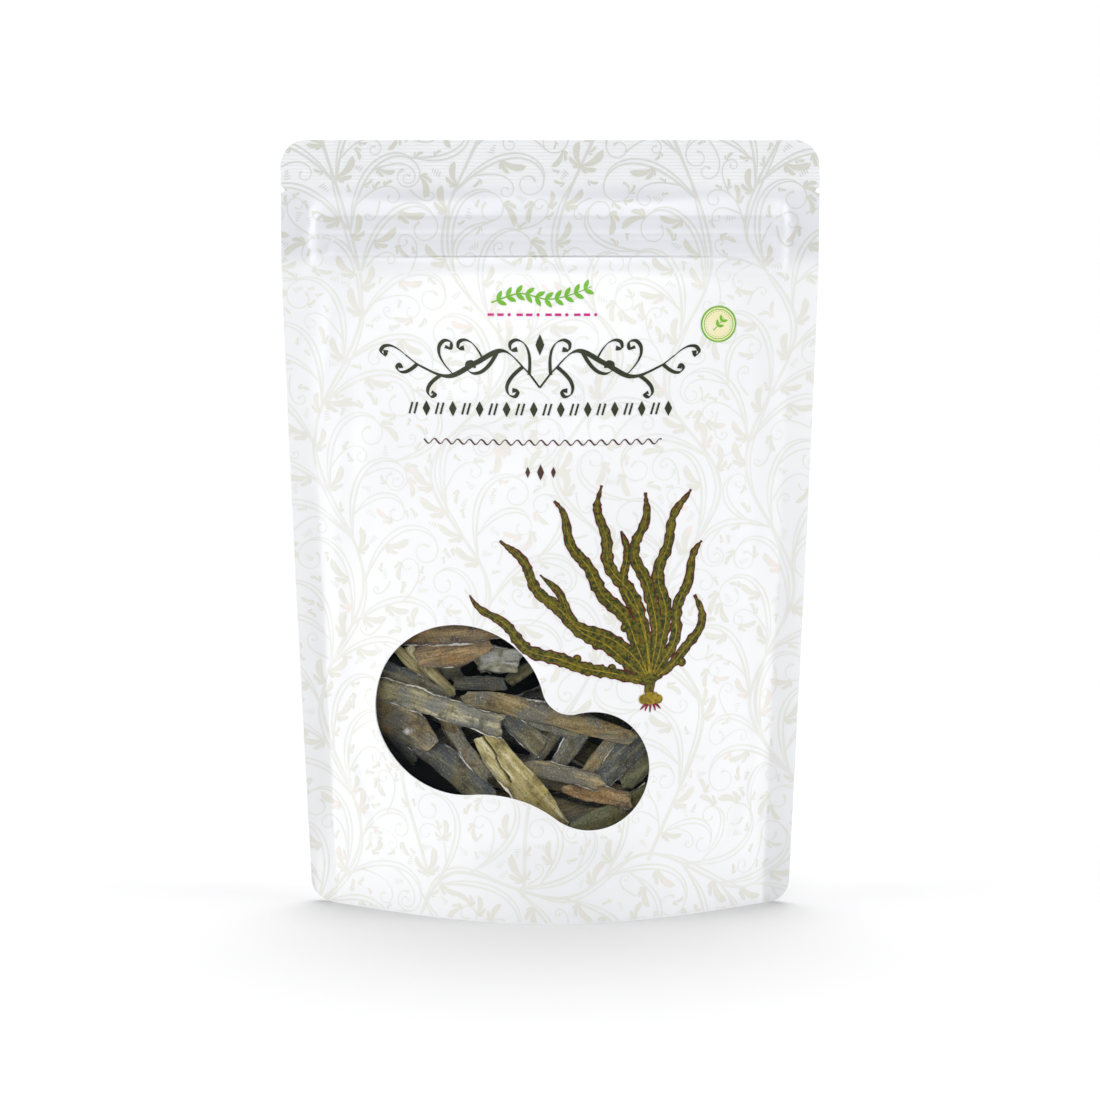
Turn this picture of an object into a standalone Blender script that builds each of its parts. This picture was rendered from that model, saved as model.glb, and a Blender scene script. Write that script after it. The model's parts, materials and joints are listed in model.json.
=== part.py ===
"""A stand-up pouch of dried sea spaghetti with a shaped clear window in its printed front wall.

Metres, +Z up. The front faces -Y. The origin is on the surface that the pouch stands on, below its middle.
A place on the film is given as (across, height): across runs along the film from the pouch's centre line.
"""

import math
import random
from dataclasses import dataclass

import bmesh
import bpy
import numpy as np
from mathutils import Vector

MM = 0.001

# The flat bag
BAG_WIDTH = 160 * MM
BAG_HEIGHT = 232 * MM
SIDE_SEAL = 8 * MM
FILM = 0.5 * MM
LAYER_GAP = 0.3 * MM
TOP_CORNER_RADIUS = 8 * MM
BOTTOM_CORNER_RADIUS = 7 * MM
NOTCH_HEIGHT = 217 * MM
NOTCH_DEPTH = 2.2 * MM
NOTCH_HALF_MOUTH = 1 * MM

# The filled bag
BASE_HALF_DEPTH = 28 * MM
CLOSED_HEIGHT = 197 * MM
BULGE_POWER = 1.2
CLOSING_POWER = 0.6
COSINE_ARC = math.pi**2 / 16

# The press-to-close strip
ZIP_HEIGHT = 203.4 * MM
ZIP_TAPE_HALF_HEIGHT = 5.6 * MM
ZIP_TAPE = 0.4 * MM
ZIP_ROOM = 1.75 * MM
ZIP_PLAY = 0.2 * MM
ZIP_HALF_LENGTH = 66 * MM
ZIP_WALL_HALF_HEIGHT = 6.6 * MM
ZIP_WALL_SLOPE = 5 * MM
ZIP_END_SLOPE = 4 * MM

# Outlines of the zip's ribs as (depth in from the tape, height from the zip's middle), in mm
ARROW_RIB = [
    (0, 0.28), (0.95, 0.28), (0.95, 0.58), (1.7, 0.15),
    (1.7, -0.15), (0.95, -0.58), (0.95, -0.28), (0, -0.28),
]
UPPER_JAW = [(0, 1.45), (1.85, 1.45), (1.85, 0.72), (1.5, 0.72), (1.5, 0.95), (0, 0.95)]

# The window as it is seen from the front: two discs joined by two hollow fillets
WINDOW_LARGE = (-26.9 * MM, 63.3 * MM)
WINDOW_LARGE_RADIUS = 25.5 * MM
WINDOW_SMALL = (12.2 * MM, 45.8 * MM)
WINDOW_SMALL_RADIUS = 17.7 * MM
WINDOW_UPPER_FILLET = 8.6 * MM
WINDOW_LOWER_FILLET = 32.6 * MM
WINDOW_FILM = 0.3 * MM
WINDOW_SEAM = 5 * MM

# The folded base
GUSSET_REACH = 69 * MM
GUSSET_SEAL_LOW = 6 * MM
GUSSET_SEAL_RISE = 34 * MM
GUSSET_FOLD_LOW = 12 * MM
GUSSET_FOLD_RISE = 33 * MM
GUSSET_FOOT = 0.3 * MM
GUSSET_SKIRT_SHARE = 0.6

# The seaweed
STRIP_THICKNESS = 1.4 * MM
STRIP_EDGE_THINNING = 0.48
STRIP_CLEARANCE = 0.45 * MM
STRIP_BEND_RADIUS = 26 * MM
SECTION_PLACES = (-1.0, -0.42, 0.42, 1.0)
STATION_SPACING = 6.5 * MM
FRONT_ROOM = 1.5 * MM
BACK_ROOM = 1.6 * MM
SIDE_ROOM = 3 * MM
BASE_ROOM = 3 * MM
FILL_HEIGHT = 122 * MM
CELL = 0.75 * MM
HEAP_MARGIN = 20 * MM
CUP_BALANCE = 0.35
FIRST_TAPER_SHARE = 0.3
LAST_TAPER_SHARE = 0.4
WAVES = 1.5
SMOOTHED_STATIONS = 7

# The straps laid by rule, in mm and degrees: (lowest, highest) of an even draw
RULE_STRIPS = 25
RULE_SEED = 21
TRIES_FOR_EACH = 16
RULE_LENGTH = (52, 92)
RULE_MIDDLE_HEIGHT = (26, 108)
RULE_WIDTH = (7.0, 10.5)
RULE_BOW = (-4, 4)
RULE_ROLL = (-28, 28)
RULE_TWIST = (-40, 40)
RULE_WAVE = (0.5, 3.5)
RULE_CUP = (0.6, 2.2)
RULE_TAPER = (0.4, 0.9)

# The same straps: (middle, spread) of a bell-shaped draw
RULE_MIDDLE_X = (-4, 28)
RULE_SLOPE = (-14, 34)

# Faces that meet at a sharper angle than this show an edge
WALL_EDGE_ANGLE = math.radians(35)
STRIP_EDGE_ANGLE = math.radians(50)

# How far a cutter reaches past what it cuts, and the step over which a wall's slope is measured
CUT_REACH = 2 * MM
SLOPE_STEP = 0.4 * MM
STRIP_SLOPE_STEP = 1.5 * MM

ZIP_END_COLUMN = BAG_WIDTH / 2 - SIDE_SEAL - ZIP_END_SLOPE
COLUMNS = sorted([column * 8 * MM for column in range(-10, 11)] + [-ZIP_END_COLUMN, ZIP_END_COLUMN])
ROWS = (
    [row * 10 * MM for row in range(19)]
    + [186 * MM, ZIP_HEIGHT - ZIP_WALL_HALF_HEIGHT - ZIP_WALL_SLOPE]
    + [ZIP_HEIGHT - ZIP_WALL_HALF_HEIGHT, ZIP_HEIGHT, ZIP_HEIGHT + ZIP_WALL_HALF_HEIGHT]
    + [ZIP_HEIGHT + ZIP_WALL_HALF_HEIGHT + ZIP_WALL_SLOPE, BAG_HEIGHT]
)


@dataclass
class Strip:
    """A dried strap, in mm and degrees. It runs from start to end, each an (x, height) seen from the front.

    bow is how far its middle bends aside and wave how far it bends in depth. roll turns it about its length,
    by twist more at its end than at its start. cup is how far its edges curl. taper is the width at each end.
    """

    start: tuple
    end: tuple
    width: float
    bow: float
    colour: str
    roll: float = 0.0
    twist: float = 0.0
    wave: float = 0.0
    cup: float = 0.7
    taper: tuple = (0.7, 0.7)


# The straps that show in the window, the front ones first, in mm and degrees
WINDOW_STRIPS = [
    Strip((-58, 68.5), (-12.8, 57.6), 7.6, 0.4, "brown", roll=5, cup=1.0, taper=(0.95, 0.92)),
    Strip((-21, 56), (6.5, 27.5), 8.8, -1.6, "olive", roll=-8, twist=20, cup=0.9, taper=(0.7, 0.25)),
    Strip((-53, 84.5), (-4, 92), 9.8, -1.6, "brown", roll=8, cup=1.2, taper=(0.8, 0.7)),
    Strip((-27, 66), (26, 53.3), 7.0, 2.6, "brown", roll=-6, twist=12, cup=0.8, taper=(0.75, 0.8)),
    Strip((-9.5, 46.2), (16.8, 40.8), 5.4, 0.9, "brown", roll=14, twist=14, cup=0.9, taper=(0.35, 0.8)),
    Strip((-55.5, 61.8), (-34, 49.8), 9.6, 1.2, "dark", roll=-4, cup=1.1, taper=(0.8, 0.35)),
    Strip((-42, 77), (-17, 82.6), 9.2, -1.0, "brown", roll=-12, cup=-0.9, taper=(0.5, 0.3)),
    Strip((-57, 74.4), (-28, 64), 5.8, 0.8, "brown", roll=18, taper=(0.9, 0.3)),
    Strip((3, 39.4), (25.4, 34.8), 4.6, 1.0, "brown", roll=12, taper=(0.35, 0.9)),
    Strip((-29.5, 56.5), (-17.4, 41), 5.4, -0.8, "brown", roll=34, taper=(0.7, 0.5)),
    Strip((-43.6, 82), (-27.5, 64.6), 3.4, -0.8, "olive", roll=34, taper=(0.8, 0.4)),
    Strip((-49, 82.4), (-33, 66.6), 3.2, -0.6, "olive", roll=30, taper=(0.8, 0.4)),
    Strip((-42, 51.6), (-16.5, 33.6), 7.2, 1.2, "dark", roll=6, cup=0.9, taper=(0.7, 0.85)),
    Strip((-30.5, 68.2), (-12.4, 69), 5.0, 0.4, "dark", roll=16, taper=(0.9, 0.8)),
    Strip((-22.5, 76.4), (-7.6, 74.6), 10.0, 0.6, "pale", roll=-16, twist=26, cup=-1.5, taper=(0.8, 0.6)),
    Strip((4.5, 26.5), (31, 38.4), 7.4, -1.8, "olive", roll=-8, taper=(0.7, 0.9)),
    Strip((-34.8, 70.4), (-25.2, 72.4), 5.6, 0.2, "olive", roll=-14, taper=(0.95, 0.9)),
    Strip((-32.4, 61), (-25.6, 43), 6.8, 0.8, "brown", roll=-18, cup=0.9, taper=(0.8, 0.6)),
    Strip((-9, 61.4), (9.4, 55), 5.4, 0.5, "dark", roll=24, taper=(0.8, 0.8)),
    Strip((0.4, 43), (11.4, 59), 6.6, 0.7, "dark", roll=-20, twist=18, cup=0.9, taper=(0.6, 0.8)),
    Strip((9.4, 42.6), (21.6, 58.4), 5.0, -0.7, "brown", roll=30, twist=-14, taper=(0.7, 0.7)),
    Strip((-24, 78.5), (-18.2, 69.6), 3.8, 0.3, "brown", roll=26, taper=(0.6, 0.8)),
    Strip((13, 41), (31, 56), 9.4, 1.0, "dark", roll=-10, cup=1.1, taper=(0.8, 0.8)),
    Strip((-24.5, 46), (-10.4, 36.6), 5.0, -0.5, "olive", roll=-14, taper=(0.8, 0.5)),
    Strip((-14.6, 63.4), (-1.4, 50.4), 8.4, -0.6, "dark", roll=16, cup=-1.0, taper=(0.8, 0.8)),
    Strip((21.4, 38.6), (32.6, 50), 6.6, -0.5, "olive", roll=20, taper=(0.8, 0.8)),
    Strip((-13.6, 67.8), (-4, 74.4), 5.0, 0.4, "olive", roll=-24, taper=(0.7, 0.7)),
    Strip((-6.4, 45), (4.4, 60), 6.2, 0.6, "dark", roll=22, taper=(0.6, 0.8)),
    Strip((-50.6, 55), (-40, 42.4), 4.8, 0.8, "dark", roll=-30, taper=(0.7, 0.5)),
]


def clear_scene():
    for thing in list(bpy.data.objects):
        bpy.data.objects.remove(thing, do_unlink=True)


def material(name, colour, roughness, alpha=1.0):
    """A Principled material in one linear colour."""
    made = bpy.data.materials.new(name)
    made.use_nodes = True
    shader = made.node_tree.nodes["Principled BSDF"]
    shader.inputs["Base Color"].default_value = (*colour, 1)
    shader.inputs["Roughness"].default_value = roughness
    shader.inputs["Metallic"].default_value = 0
    shader.inputs["Alpha"].default_value = alpha
    return made


def half_depth(height):
    """How far the middle of each wall stands from the pouch's middle plane."""
    share = min(max(height, 0) / CLOSED_HEIGHT, 1)
    return BASE_HALF_DEPTH * (1 - share**BULGE_POWER) ** CLOSING_POWER


def half_chord(height):
    """Half the way between the side seals, which draw in as the walls bow out on a fixed length of film."""
    flat = BAG_WIDTH / 2 - SIDE_SEAL
    return (flat + math.sqrt(flat**2 - 4 * COSINE_ARC * half_depth(height) ** 2)) / 2


def zip_lift(across, height):
    """The room that each wall gives the press-to-close strip."""
    up = (ZIP_WALL_HALF_HEIGHT + ZIP_WALL_SLOPE - abs(height - ZIP_HEIGHT)) / ZIP_WALL_SLOPE
    side = (BAG_WIDTH / 2 - SIDE_SEAL - abs(across)) / ZIP_END_SLOPE
    return ZIP_ROOM * min(max(up, 0), 1) * min(max(side, 0), 1)


def across_at(x, height):
    """The place along the film that is seen at x from the front."""
    chord = half_chord(height)
    if abs(x) >= chord:
        return math.copysign(BAG_WIDTH / 2 - SIDE_SEAL + abs(x) - chord, x)
    slack = COSINE_ARC * (half_depth(height) / chord) ** 2
    return x * (1 + slack) - slack * chord / math.pi * math.sin(math.pi * x / chord)


def wall_place(across, height):
    """(x, distance from the middle plane) of the face between a wall and the other one."""
    chord = half_chord(height)
    bow = half_depth(height)
    flat = BAG_WIDTH / 2 - SIDE_SEAL
    if abs(across) >= flat:
        return math.copysign(chord + abs(across) - flat, across), 0
    slack = COSINE_ARC * (bow / chord) ** 2
    x = across
    for _ in range(5):
        x = (across + slack * chord / math.pi * math.sin(math.pi * x / chord)) / (1 + slack)
    return x, bow * math.cos(math.pi * x / (2 * chord)) + zip_lift(across, height)


def on_wall(across, height, out, side):
    """The point that stands out from a wall by out. side is -1 for the front wall and 1 for the back.

    The film is upright at its foot, so that the pouch stands on a level edge.
    """
    step = SLOPE_STEP

    def face(a, h):
        x, depth = wall_place(a, h)
        return Vector((x, side * depth, h))

    along = face(across + step, height) - face(across - step, height)
    upward = face(across, height + step) - face(across, height - step)
    normal = along.cross(upward)
    if height < step:
        normal.z = 0
    if normal.y * side < 0:
        normal.negate()
    return face(across, height) + normal.normalized() * out


def arc(centre, radius, start, end, steps):
    """Points from angle start to angle end, both included."""
    turn = (end - start) / steps
    return [
        (centre[0] + radius * math.cos(start + turn * i), centre[1] + radius * math.sin(start + turn * i))
        for i in range(steps + 1)
    ]


def bag_outline():
    """The flat bag's outline: round corners and a tear notch in each side."""
    half = BAG_WIDTH / 2
    quarter = math.pi / 2
    top = BAG_HEIGHT - TOP_CORNER_RADIUS
    in_top = half - TOP_CORNER_RADIUS
    in_low = half - BOTTOM_CORNER_RADIUS
    notch = [
        (half, NOTCH_HEIGHT - NOTCH_HALF_MOUTH),
        (half - NOTCH_DEPTH, NOTCH_HEIGHT),
        (half, NOTCH_HEIGHT + NOTCH_HALF_MOUTH),
    ]
    right = arc((in_low, BOTTOM_CORNER_RADIUS), BOTTOM_CORNER_RADIUS, -quarter, 0, 6)
    right += notch + arc((in_top, top), TOP_CORNER_RADIUS, 0, quarter, 6)
    return right + [(-x, height) for x, height in reversed(right)]


def fillet_centre(radius, grow, side):
    """The centre of the arc that touches both window discs from outside. side is 1 above and -1 below."""
    a, b = Vector(WINDOW_LARGE), Vector(WINDOW_SMALL)
    far_a = WINDOW_LARGE_RADIUS + grow + radius
    far_b = WINDOW_SMALL_RADIUS + grow + radius
    between = b - a
    along = (far_a**2 - far_b**2 + between.length_squared) / (2 * between.length)
    off = math.sqrt(far_a**2 - along**2)
    unit = between.normalized()
    return a + unit * along + Vector((-unit.y, unit.x)) * off * side


def window_outline(grow=0):
    """The window's outline, anticlockwise, moved outwards by grow."""
    a, b = Vector(WINDOW_LARGE), Vector(WINDOW_SMALL)
    upper = fillet_centre(WINDOW_UPPER_FILLET - grow, grow, 1)
    lower = fillet_centre(WINDOW_LOWER_FILLET - grow, grow, -1)

    def angle(start, end):
        return math.atan2(end[1] - start[1], end[0] - start[0])

    def sweep(centre, radius, start, end, turn, steps):
        end = start + turn * ((turn * (end - start)) % math.tau)
        return arc(centre, radius, start, end, steps)

    points = sweep(a, WINDOW_LARGE_RADIUS + grow, angle(a, upper), angle(a, lower), 1, 26)
    points += sweep(lower, WINDOW_LOWER_FILLET - grow, angle(lower, a), angle(lower, b), -1, 7)[1:]
    points += sweep(b, WINDOW_SMALL_RADIUS + grow, angle(b, lower), angle(b, upper), 1, 20)[1:]
    points += sweep(upper, WINDOW_UPPER_FILLET - grow, angle(upper, b), angle(upper, a), -1, 7)[1:-1]
    return [(across_at(x, height), height) for x, height in points]


def flat_prism(name, outline, low, high):
    """A closed prism over an outline in (across, height) that runs from low to high in Y."""
    made = bmesh.new()
    face = made.faces.new([made.verts.new((x, low, height)) for x, height in outline])
    grown = bmesh.ops.extrude_face_region(made, geom=[face])
    moved = [item for item in grown["geom"] if isinstance(item, bmesh.types.BMVert)]
    bmesh.ops.translate(made, verts=moved, vec=(0, high - low, 0))
    bmesh.ops.recalc_face_normals(made, faces=made.faces)
    return object_of(name, made)


def flat_plate(name, columns, rows, low, high):
    """A closed flat plate from low to high in Y, cut along columns and rows so that it can bend."""
    made = bmesh.new()
    bmesh.ops.create_cube(made, size=1)
    size = Vector((columns[-1] - columns[0], high - low, rows[-1] - rows[0]))
    middle = Vector((columns[-1] + columns[0], high + low, rows[-1] + rows[0])) / 2
    bmesh.ops.scale(made, vec=size, verts=made.verts)
    bmesh.ops.translate(made, vec=middle, verts=made.verts)
    cuts = [(Vector((x, 0, 0)), Vector((1, 0, 0))) for x in columns[1:-1]]
    cuts += [(Vector((0, 0, height)), Vector((0, 0, 1))) for height in rows[1:-1]]
    for point, normal in cuts:
        everything = made.verts[:] + made.edges[:] + made.faces[:]
        bmesh.ops.bisect_plane(made, geom=everything, dist=1e-7, plane_co=point, plane_no=normal)
    return object_of(name, made)


def object_of(name, made):
    mesh = bpy.data.meshes.new(name)
    made.to_mesh(mesh)
    made.free()
    thing = bpy.data.objects.new(name, mesh)
    bpy.context.scene.collection.objects.link(thing)
    return thing


def cut_to(plate, cutter, operation):
    """Cuts the plate by a prism, which is then removed."""
    modifier = plate.modifiers.new("cut", "BOOLEAN")
    modifier.object = cutter
    modifier.operation = operation
    modifier.solver = "EXACT"
    graph = bpy.context.evaluated_depsgraph_get()
    mesh = bpy.data.meshes.new_from_object(plate.evaluated_get(graph))
    plate.modifiers.clear()
    plate.data = mesh
    bpy.data.objects.remove(cutter, do_unlink=True)


def bend_to_wall(plate, side):
    """Lays a flat plate on a wall: its Y is how far it stands out from the wall."""
    made = bmesh.new()
    made.from_mesh(plate.data)
    bmesh.ops.remove_doubles(made, verts=made.verts, dist=1e-6)
    bmesh.ops.triangulate(made, faces=made.faces)
    for vert in made.verts:
        vert.co = on_wall(vert.co.x, vert.co.z, vert.co.y, side)
    if side < 0:
        bmesh.ops.reverse_faces(made, faces=made.faces)
    made.to_mesh(plate.data)
    made.free()
    plate.data.shade_smooth()
    plate.data.set_sharp_from_angle(angle=WALL_EDGE_ANGLE)


def wall_panel(name, side, finish, window):
    """One wall of the pouch, with its side seals and, on the front, the window's hole."""
    low = LAYER_GAP / 2
    high = low + FILM
    plate = flat_plate(name, COLUMNS, ROWS, low, high)
    start = low - CUT_REACH
    end = high + CUT_REACH
    cut_to(plate, flat_prism("outline", bag_outline(), start, end), "INTERSECT")
    if window:
        cut_to(plate, flat_prism("hole", window_outline(), start, end), "DIFFERENCE")
    bend_to_wall(plate, side)
    plate.data.materials.clear()
    plate.data.materials.append(finish)


def window_film(finish):
    """The clear film behind the window, larger than the hole by its seam."""
    high = LAYER_GAP / 2 - LAYER_GAP
    low = high - WINDOW_FILM
    outline = window_outline(WINDOW_SEAM)
    reach = [min(x for x, _ in outline), max(x for x, _ in outline)]
    span = [min(height for _, height in outline), max(height for _, height in outline)]
    beyond = CUT_REACH
    columns = [reach[0] - beyond, *[x for x in COLUMNS if reach[0] < x < reach[1]], reach[1] + beyond]
    rows = [span[0] - beyond, *[row for row in ROWS if span[0] < row < span[1]], span[1] + beyond]
    plate = flat_plate("window_film", columns, rows, low, high)
    cut_to(plate, flat_prism("outline", outline, low - beyond, high + beyond), "INTERSECT")
    bend_to_wall(plate, -1)
    plate.data.materials.clear()
    plate.data.materials.append(finish)


def gusset_heights(across):
    """(height of the curved seal on the walls, height of the fold in the middle) at this place across."""
    share = abs(across) / (BAG_WIDTH / 2 - SIDE_SEAL)
    seal = GUSSET_SEAL_LOW + GUSSET_SEAL_RISE * share**2.5
    fold = GUSSET_FOLD_LOW + GUSSET_FOLD_RISE * share**2.2
    return seal, fold


def gusset_place(across, girth):
    """A point of the base film. girth runs from -1, the front foot, over the fold at 0, to 1, the back foot."""
    seal, fold = gusset_heights(across)
    side = math.copysign(1, girth)
    inset = LAYER_GAP / 2 - LAYER_GAP - FILM / 2
    if abs(girth) >= GUSSET_SKIRT_SHARE:
        down = (abs(girth) - GUSSET_SKIRT_SHARE) / (1 - GUSSET_SKIRT_SHARE)
        return on_wall(across, seal + (GUSSET_FOOT - seal) * down, inset, side)
    edge = on_wall(across, seal, inset, side)
    out = abs(girth) / GUSSET_SKIRT_SHARE
    return Vector((edge.x, edge.y * out, fold + (seal - fold) * out**2))


def base_gusset(finish):
    """The base film: two skirts sealed to the walls and a saddle between them that is low in the middle."""
    made = bmesh.new()
    bmesh.ops.create_grid(made, x_segments=18, y_segments=10, size=1)
    for vert in made.verts:
        vert.co = gusset_place(vert.co.x * GUSSET_REACH, vert.co.y)
    bmesh.ops.recalc_face_normals(made, faces=made.faces)
    gusset = object_of("base_gusset", made)
    wall = gusset.modifiers.new("film", "SOLIDIFY")
    wall.thickness = FILM
    wall.offset = 0
    gusset.data.materials.append(finish)
    gusset.data.shade_smooth()


def zip_strip(name, side, ribs, finish):
    """A strip of the zip: a tape with ribs. A rib is a list of (depth in from the tape, height) in mm."""
    face = ZIP_ROOM - ZIP_PLAY
    root = face - ZIP_TAPE
    half = ZIP_TAPE_HALF_HEIGHT
    profile = [(face, -half), (face, half), (root, half)]
    for rib in ribs:
        profile += [(root - depth * MM, height * MM) for depth, height in rib]
    profile.append((root, -half))
    made = bmesh.new()
    start = -ZIP_HALF_LENGTH
    corners = [made.verts.new((start, side * depth, ZIP_HEIGHT + height)) for depth, height in profile]
    grown = bmesh.ops.extrude_face_region(made, geom=[made.faces.new(corners)])
    moved = [item for item in grown["geom"] if isinstance(item, bmesh.types.BMVert)]
    bmesh.ops.translate(made, verts=moved, vec=(2 * ZIP_HALF_LENGTH, 0, 0))
    bmesh.ops.recalc_face_normals(made, faces=made.faces)
    strip = object_of(name, made)
    strip.data.materials.append(finish)


def press_to_close_zip(finish):
    """An arrow-headed rib on the front tape that snaps between two hooked jaws on the back tape."""
    lower_jaw = [(depth, -height) for depth, height in reversed(UPPER_JAW)]
    zip_strip("zip_hook_strip", -1, [ARROW_RIB], finish)
    zip_strip("zip_groove_strip", 1, [UPPER_JAW, lower_jaw], finish)


def smooth_step(values):
    values = np.clip(values, 0, 1)
    return values * values * (3 - 2 * values)


class Heap:
    """How far back the straps already reach, on a grid of cells in the plane of the walls."""

    def __init__(self):
        self.x = np.arange(-BAG_WIDTH / 2, BAG_WIDTH / 2, CELL)
        self.z = np.arange(0, FILL_HEIGHT + HEAP_MARGIN, CELL)
        depth = np.zeros((len(self.x), len(self.z)))
        for j, height in enumerate(self.z):
            chord = half_chord(height)
            inside = np.abs(self.x) < chord
            bowed = half_depth(height) * np.cos(math.pi * self.x / (2 * chord))
            depth[:, j] = np.where(inside, bowed, 0)
        self.front = -depth + FRONT_ROOM
        self.limit = depth - BACK_ROOM
        self.reach = self.front.copy()

    def cells(self, x, z):
        i = np.clip(np.round((x - self.x[0]) / CELL).astype(int), 1, len(self.x) - 2)
        j = np.clip(np.round((z - self.z[0]) / CELL).astype(int), 1, len(self.z) - 2)
        return i, j

    def reach_near(self, x, z):
        """The furthest reach in each place's cell and the eight round it."""
        i, j = self.cells(x, z)
        around = [self.reach[i + a, j + b] for a in (-1, 0, 1) for b in (-1, 0, 1)]
        return np.max(around, axis=0)

    def add(self, x, y, z):
        np.maximum.at(self.reach, self.cells(x, z), y)


def strip_path(strip, stations):
    """Places along a strap and its directions in the plane of the walls, at each of stations from 0 to 1."""
    start = np.array(strip.start) * MM
    end = np.array(strip.end) * MM
    along = end - start
    length = np.linalg.norm(along)
    unit = along / length
    aside = np.array([-unit[1], unit[0]])
    bend = strip.bow * MM * np.sin(math.pi * stations)
    slope = strip.bow * MM * math.pi * np.cos(math.pi * stations) / length
    places = start + np.outer(stations, along) + np.outer(bend, aside)
    heading = unit + np.outer(slope, aside)
    heading /= np.linalg.norm(heading, axis=1)[:, None]
    return places, np.stack([-heading[:, 1], heading[:, 0]], axis=1), length


def width_share(strip, stations):
    """The strap's width along it, as a share of its full width: it narrows towards both ends."""
    first, last = strip.taper
    opening = first + (1 - first) * smooth_step(stations / FIRST_TAPER_SHARE)
    closing = last + (1 - last) * smooth_step((1 - stations) / LAST_TAPER_SHARE)
    return opening * closing


def wall_tilt(places, across):
    """How much the front wall slopes back per unit sideways, at each place of a strap."""
    step = STRIP_SLOPE_STEP

    def depth(points):
        found = []
        for x, height in points:
            chord = half_chord(height)
            found.append(-half_depth(height) * math.cos(math.pi * min(abs(x) / chord, 1) / 2))
        return np.array(found)

    return (depth(places + across * step) - depth(places - across * step)) / (2 * step)


def strip_faces(strip, stations, share):
    """Sideways and depth offsets of both faces of the strap, at each station and share of its half width."""
    places, across, _ = strip_path(strip, stations)
    half = strip.width / 2 * MM * width_share(strip, stations)[:, None]
    roll = np.radians(strip.roll + strip.twist * (stations - 0.5)) + np.arctan(wall_tilt(places, across))
    roll = roll[:, None]
    cup = strip.cup * MM * (share**2 - CUP_BALANCE)[None, :] * (half / half.max())
    thick = STRIP_THICKNESS / 2 * (1 - STRIP_EDGE_THINNING * share**2)[None, :] * np.ones_like(half)
    faces = []
    for face in (cup - thick, cup + thick):
        sideways = half * share[None, :] * np.cos(roll) - face * np.sin(roll)
        depth = half * share[None, :] * np.sin(roll) + face * np.cos(roll)
        faces.append((sideways, depth))
    return places, across, faces


def laid(heap, strip):
    """The depth of the strap's middle line at fine stations, once it lies on what is in front of it."""
    _, _, length = strip_path(strip, np.array([0.0, 1.0]))
    stations = np.linspace(0, 1, max(12, round(length / (1 * MM))))
    share = np.linspace(-1, 1, 9)
    places, across, faces = strip_faces(strip, stations, share)
    sideways, depth = faces[0]
    x = places[:, :1] + sideways * across[:, :1]
    z = places[:, 1:] + sideways * across[:, 1:]
    least = (heap.reach_near(x, z) - depth).max(axis=1) + STRIP_CLEARANCE
    apart = (stations[:, None] - stations[None, :]) * length
    line = (least[None, :] - apart**2 / (2 * STRIP_BEND_RADIUS)).max(axis=1)
    padded = np.pad(line, SMOOTHED_STATIONS // 2, mode="edge")
    line = np.convolve(padded, np.ones(SMOOTHED_STATIONS) / SMOOTHED_STATIONS, mode="valid")
    line += max(0, (least - line).max())
    line += strip.wave * MM * (1 - np.cos(math.tau * (stations * WAVES + strip.bow))) / 2
    return stations, line, length


def fits(heap, strip, stations, line):
    """Whether the strap stays inside the walls, above the base and below the fill height."""
    share = np.linspace(-1, 1, 5)
    places, across, faces = strip_faces(strip, stations, share)
    sideways, depth = faces[1]
    x = places[:, :1] + sideways * across[:, :1]
    z = places[:, 1:] + sideways * across[:, 1:]
    chord = np.array([half_chord(height) for height in z.ravel()]).reshape(z.shape)
    floor = GUSSET_FOLD_LOW + GUSSET_FOLD_RISE * (np.abs(x) / chord) ** 2 + BASE_ROOM
    i, j = heap.cells(x, z)
    inside = (np.abs(x) < chord - SIDE_ROOM) & (z > floor) & (z < FILL_HEIGHT)
    behind = line[:, None] + depth < heap.limit[i, j]
    return bool((inside & behind).all())


def settle(heap, strip):
    """Adds the strap to the heap, and gives the middle line's depth as (stations, depths)."""
    stations, line, length = laid(heap, strip)
    fine = np.linspace(0, 1, 2 * len(stations))
    share = np.linspace(-1, 1, 17)
    places, across, faces = strip_faces(strip, fine, share)
    for sideways, depth in faces:
        x = places[:, :1] + sideways * across[:, :1]
        z = places[:, 1:] + sideways * across[:, 1:]
        heap.add(x, np.interp(fine, stations, line)[:, None] + depth, z)
    return stations, line, length


def strip_solid(name, strip, stations, line, length, finish):
    """The strap as one closed body: a thin cupped section carried along its middle line."""
    steps = max(2, round(length / STATION_SPACING))
    at = np.linspace(0, 1, steps + 1)
    share = np.array(SECTION_PLACES)
    places, across, faces = strip_faces(strip, at, share)
    depth_at = np.interp(at, stations, line)
    made = bmesh.new()
    rings = []
    for k in range(len(at)):
        ring = []
        for (sideways, depth), order in zip(faces, (1, -1)):
            for s, d in list(zip(sideways[k], depth[k]))[::order]:
                x = places[k, 0] + s * across[k, 0]
                z = places[k, 1] + s * across[k, 1]
                ring.append(made.verts.new((x, depth_at[k] + d, z)))
        rings.append(ring)
    edges = []
    for ring in rings:
        loop = [made.edges.new((a, b)) for a, b in zip(ring, ring[1:] + ring[:1])]
        edges.append(loop)
    for first, second in zip(edges, edges[1:]):
        bmesh.ops.bridge_loops(made, edges=first + second)
    made.faces.new(rings[0])
    made.faces.new(rings[-1])
    bmesh.ops.triangulate(made, faces=made.faces)
    bmesh.ops.recalc_face_normals(made, faces=made.faces)
    solid = object_of(name, made)
    solid.data.materials.append(finish)
    solid.data.shade_smooth()
    solid.data.set_sharp_from_angle(angle=STRIP_EDGE_ANGLE)


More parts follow.
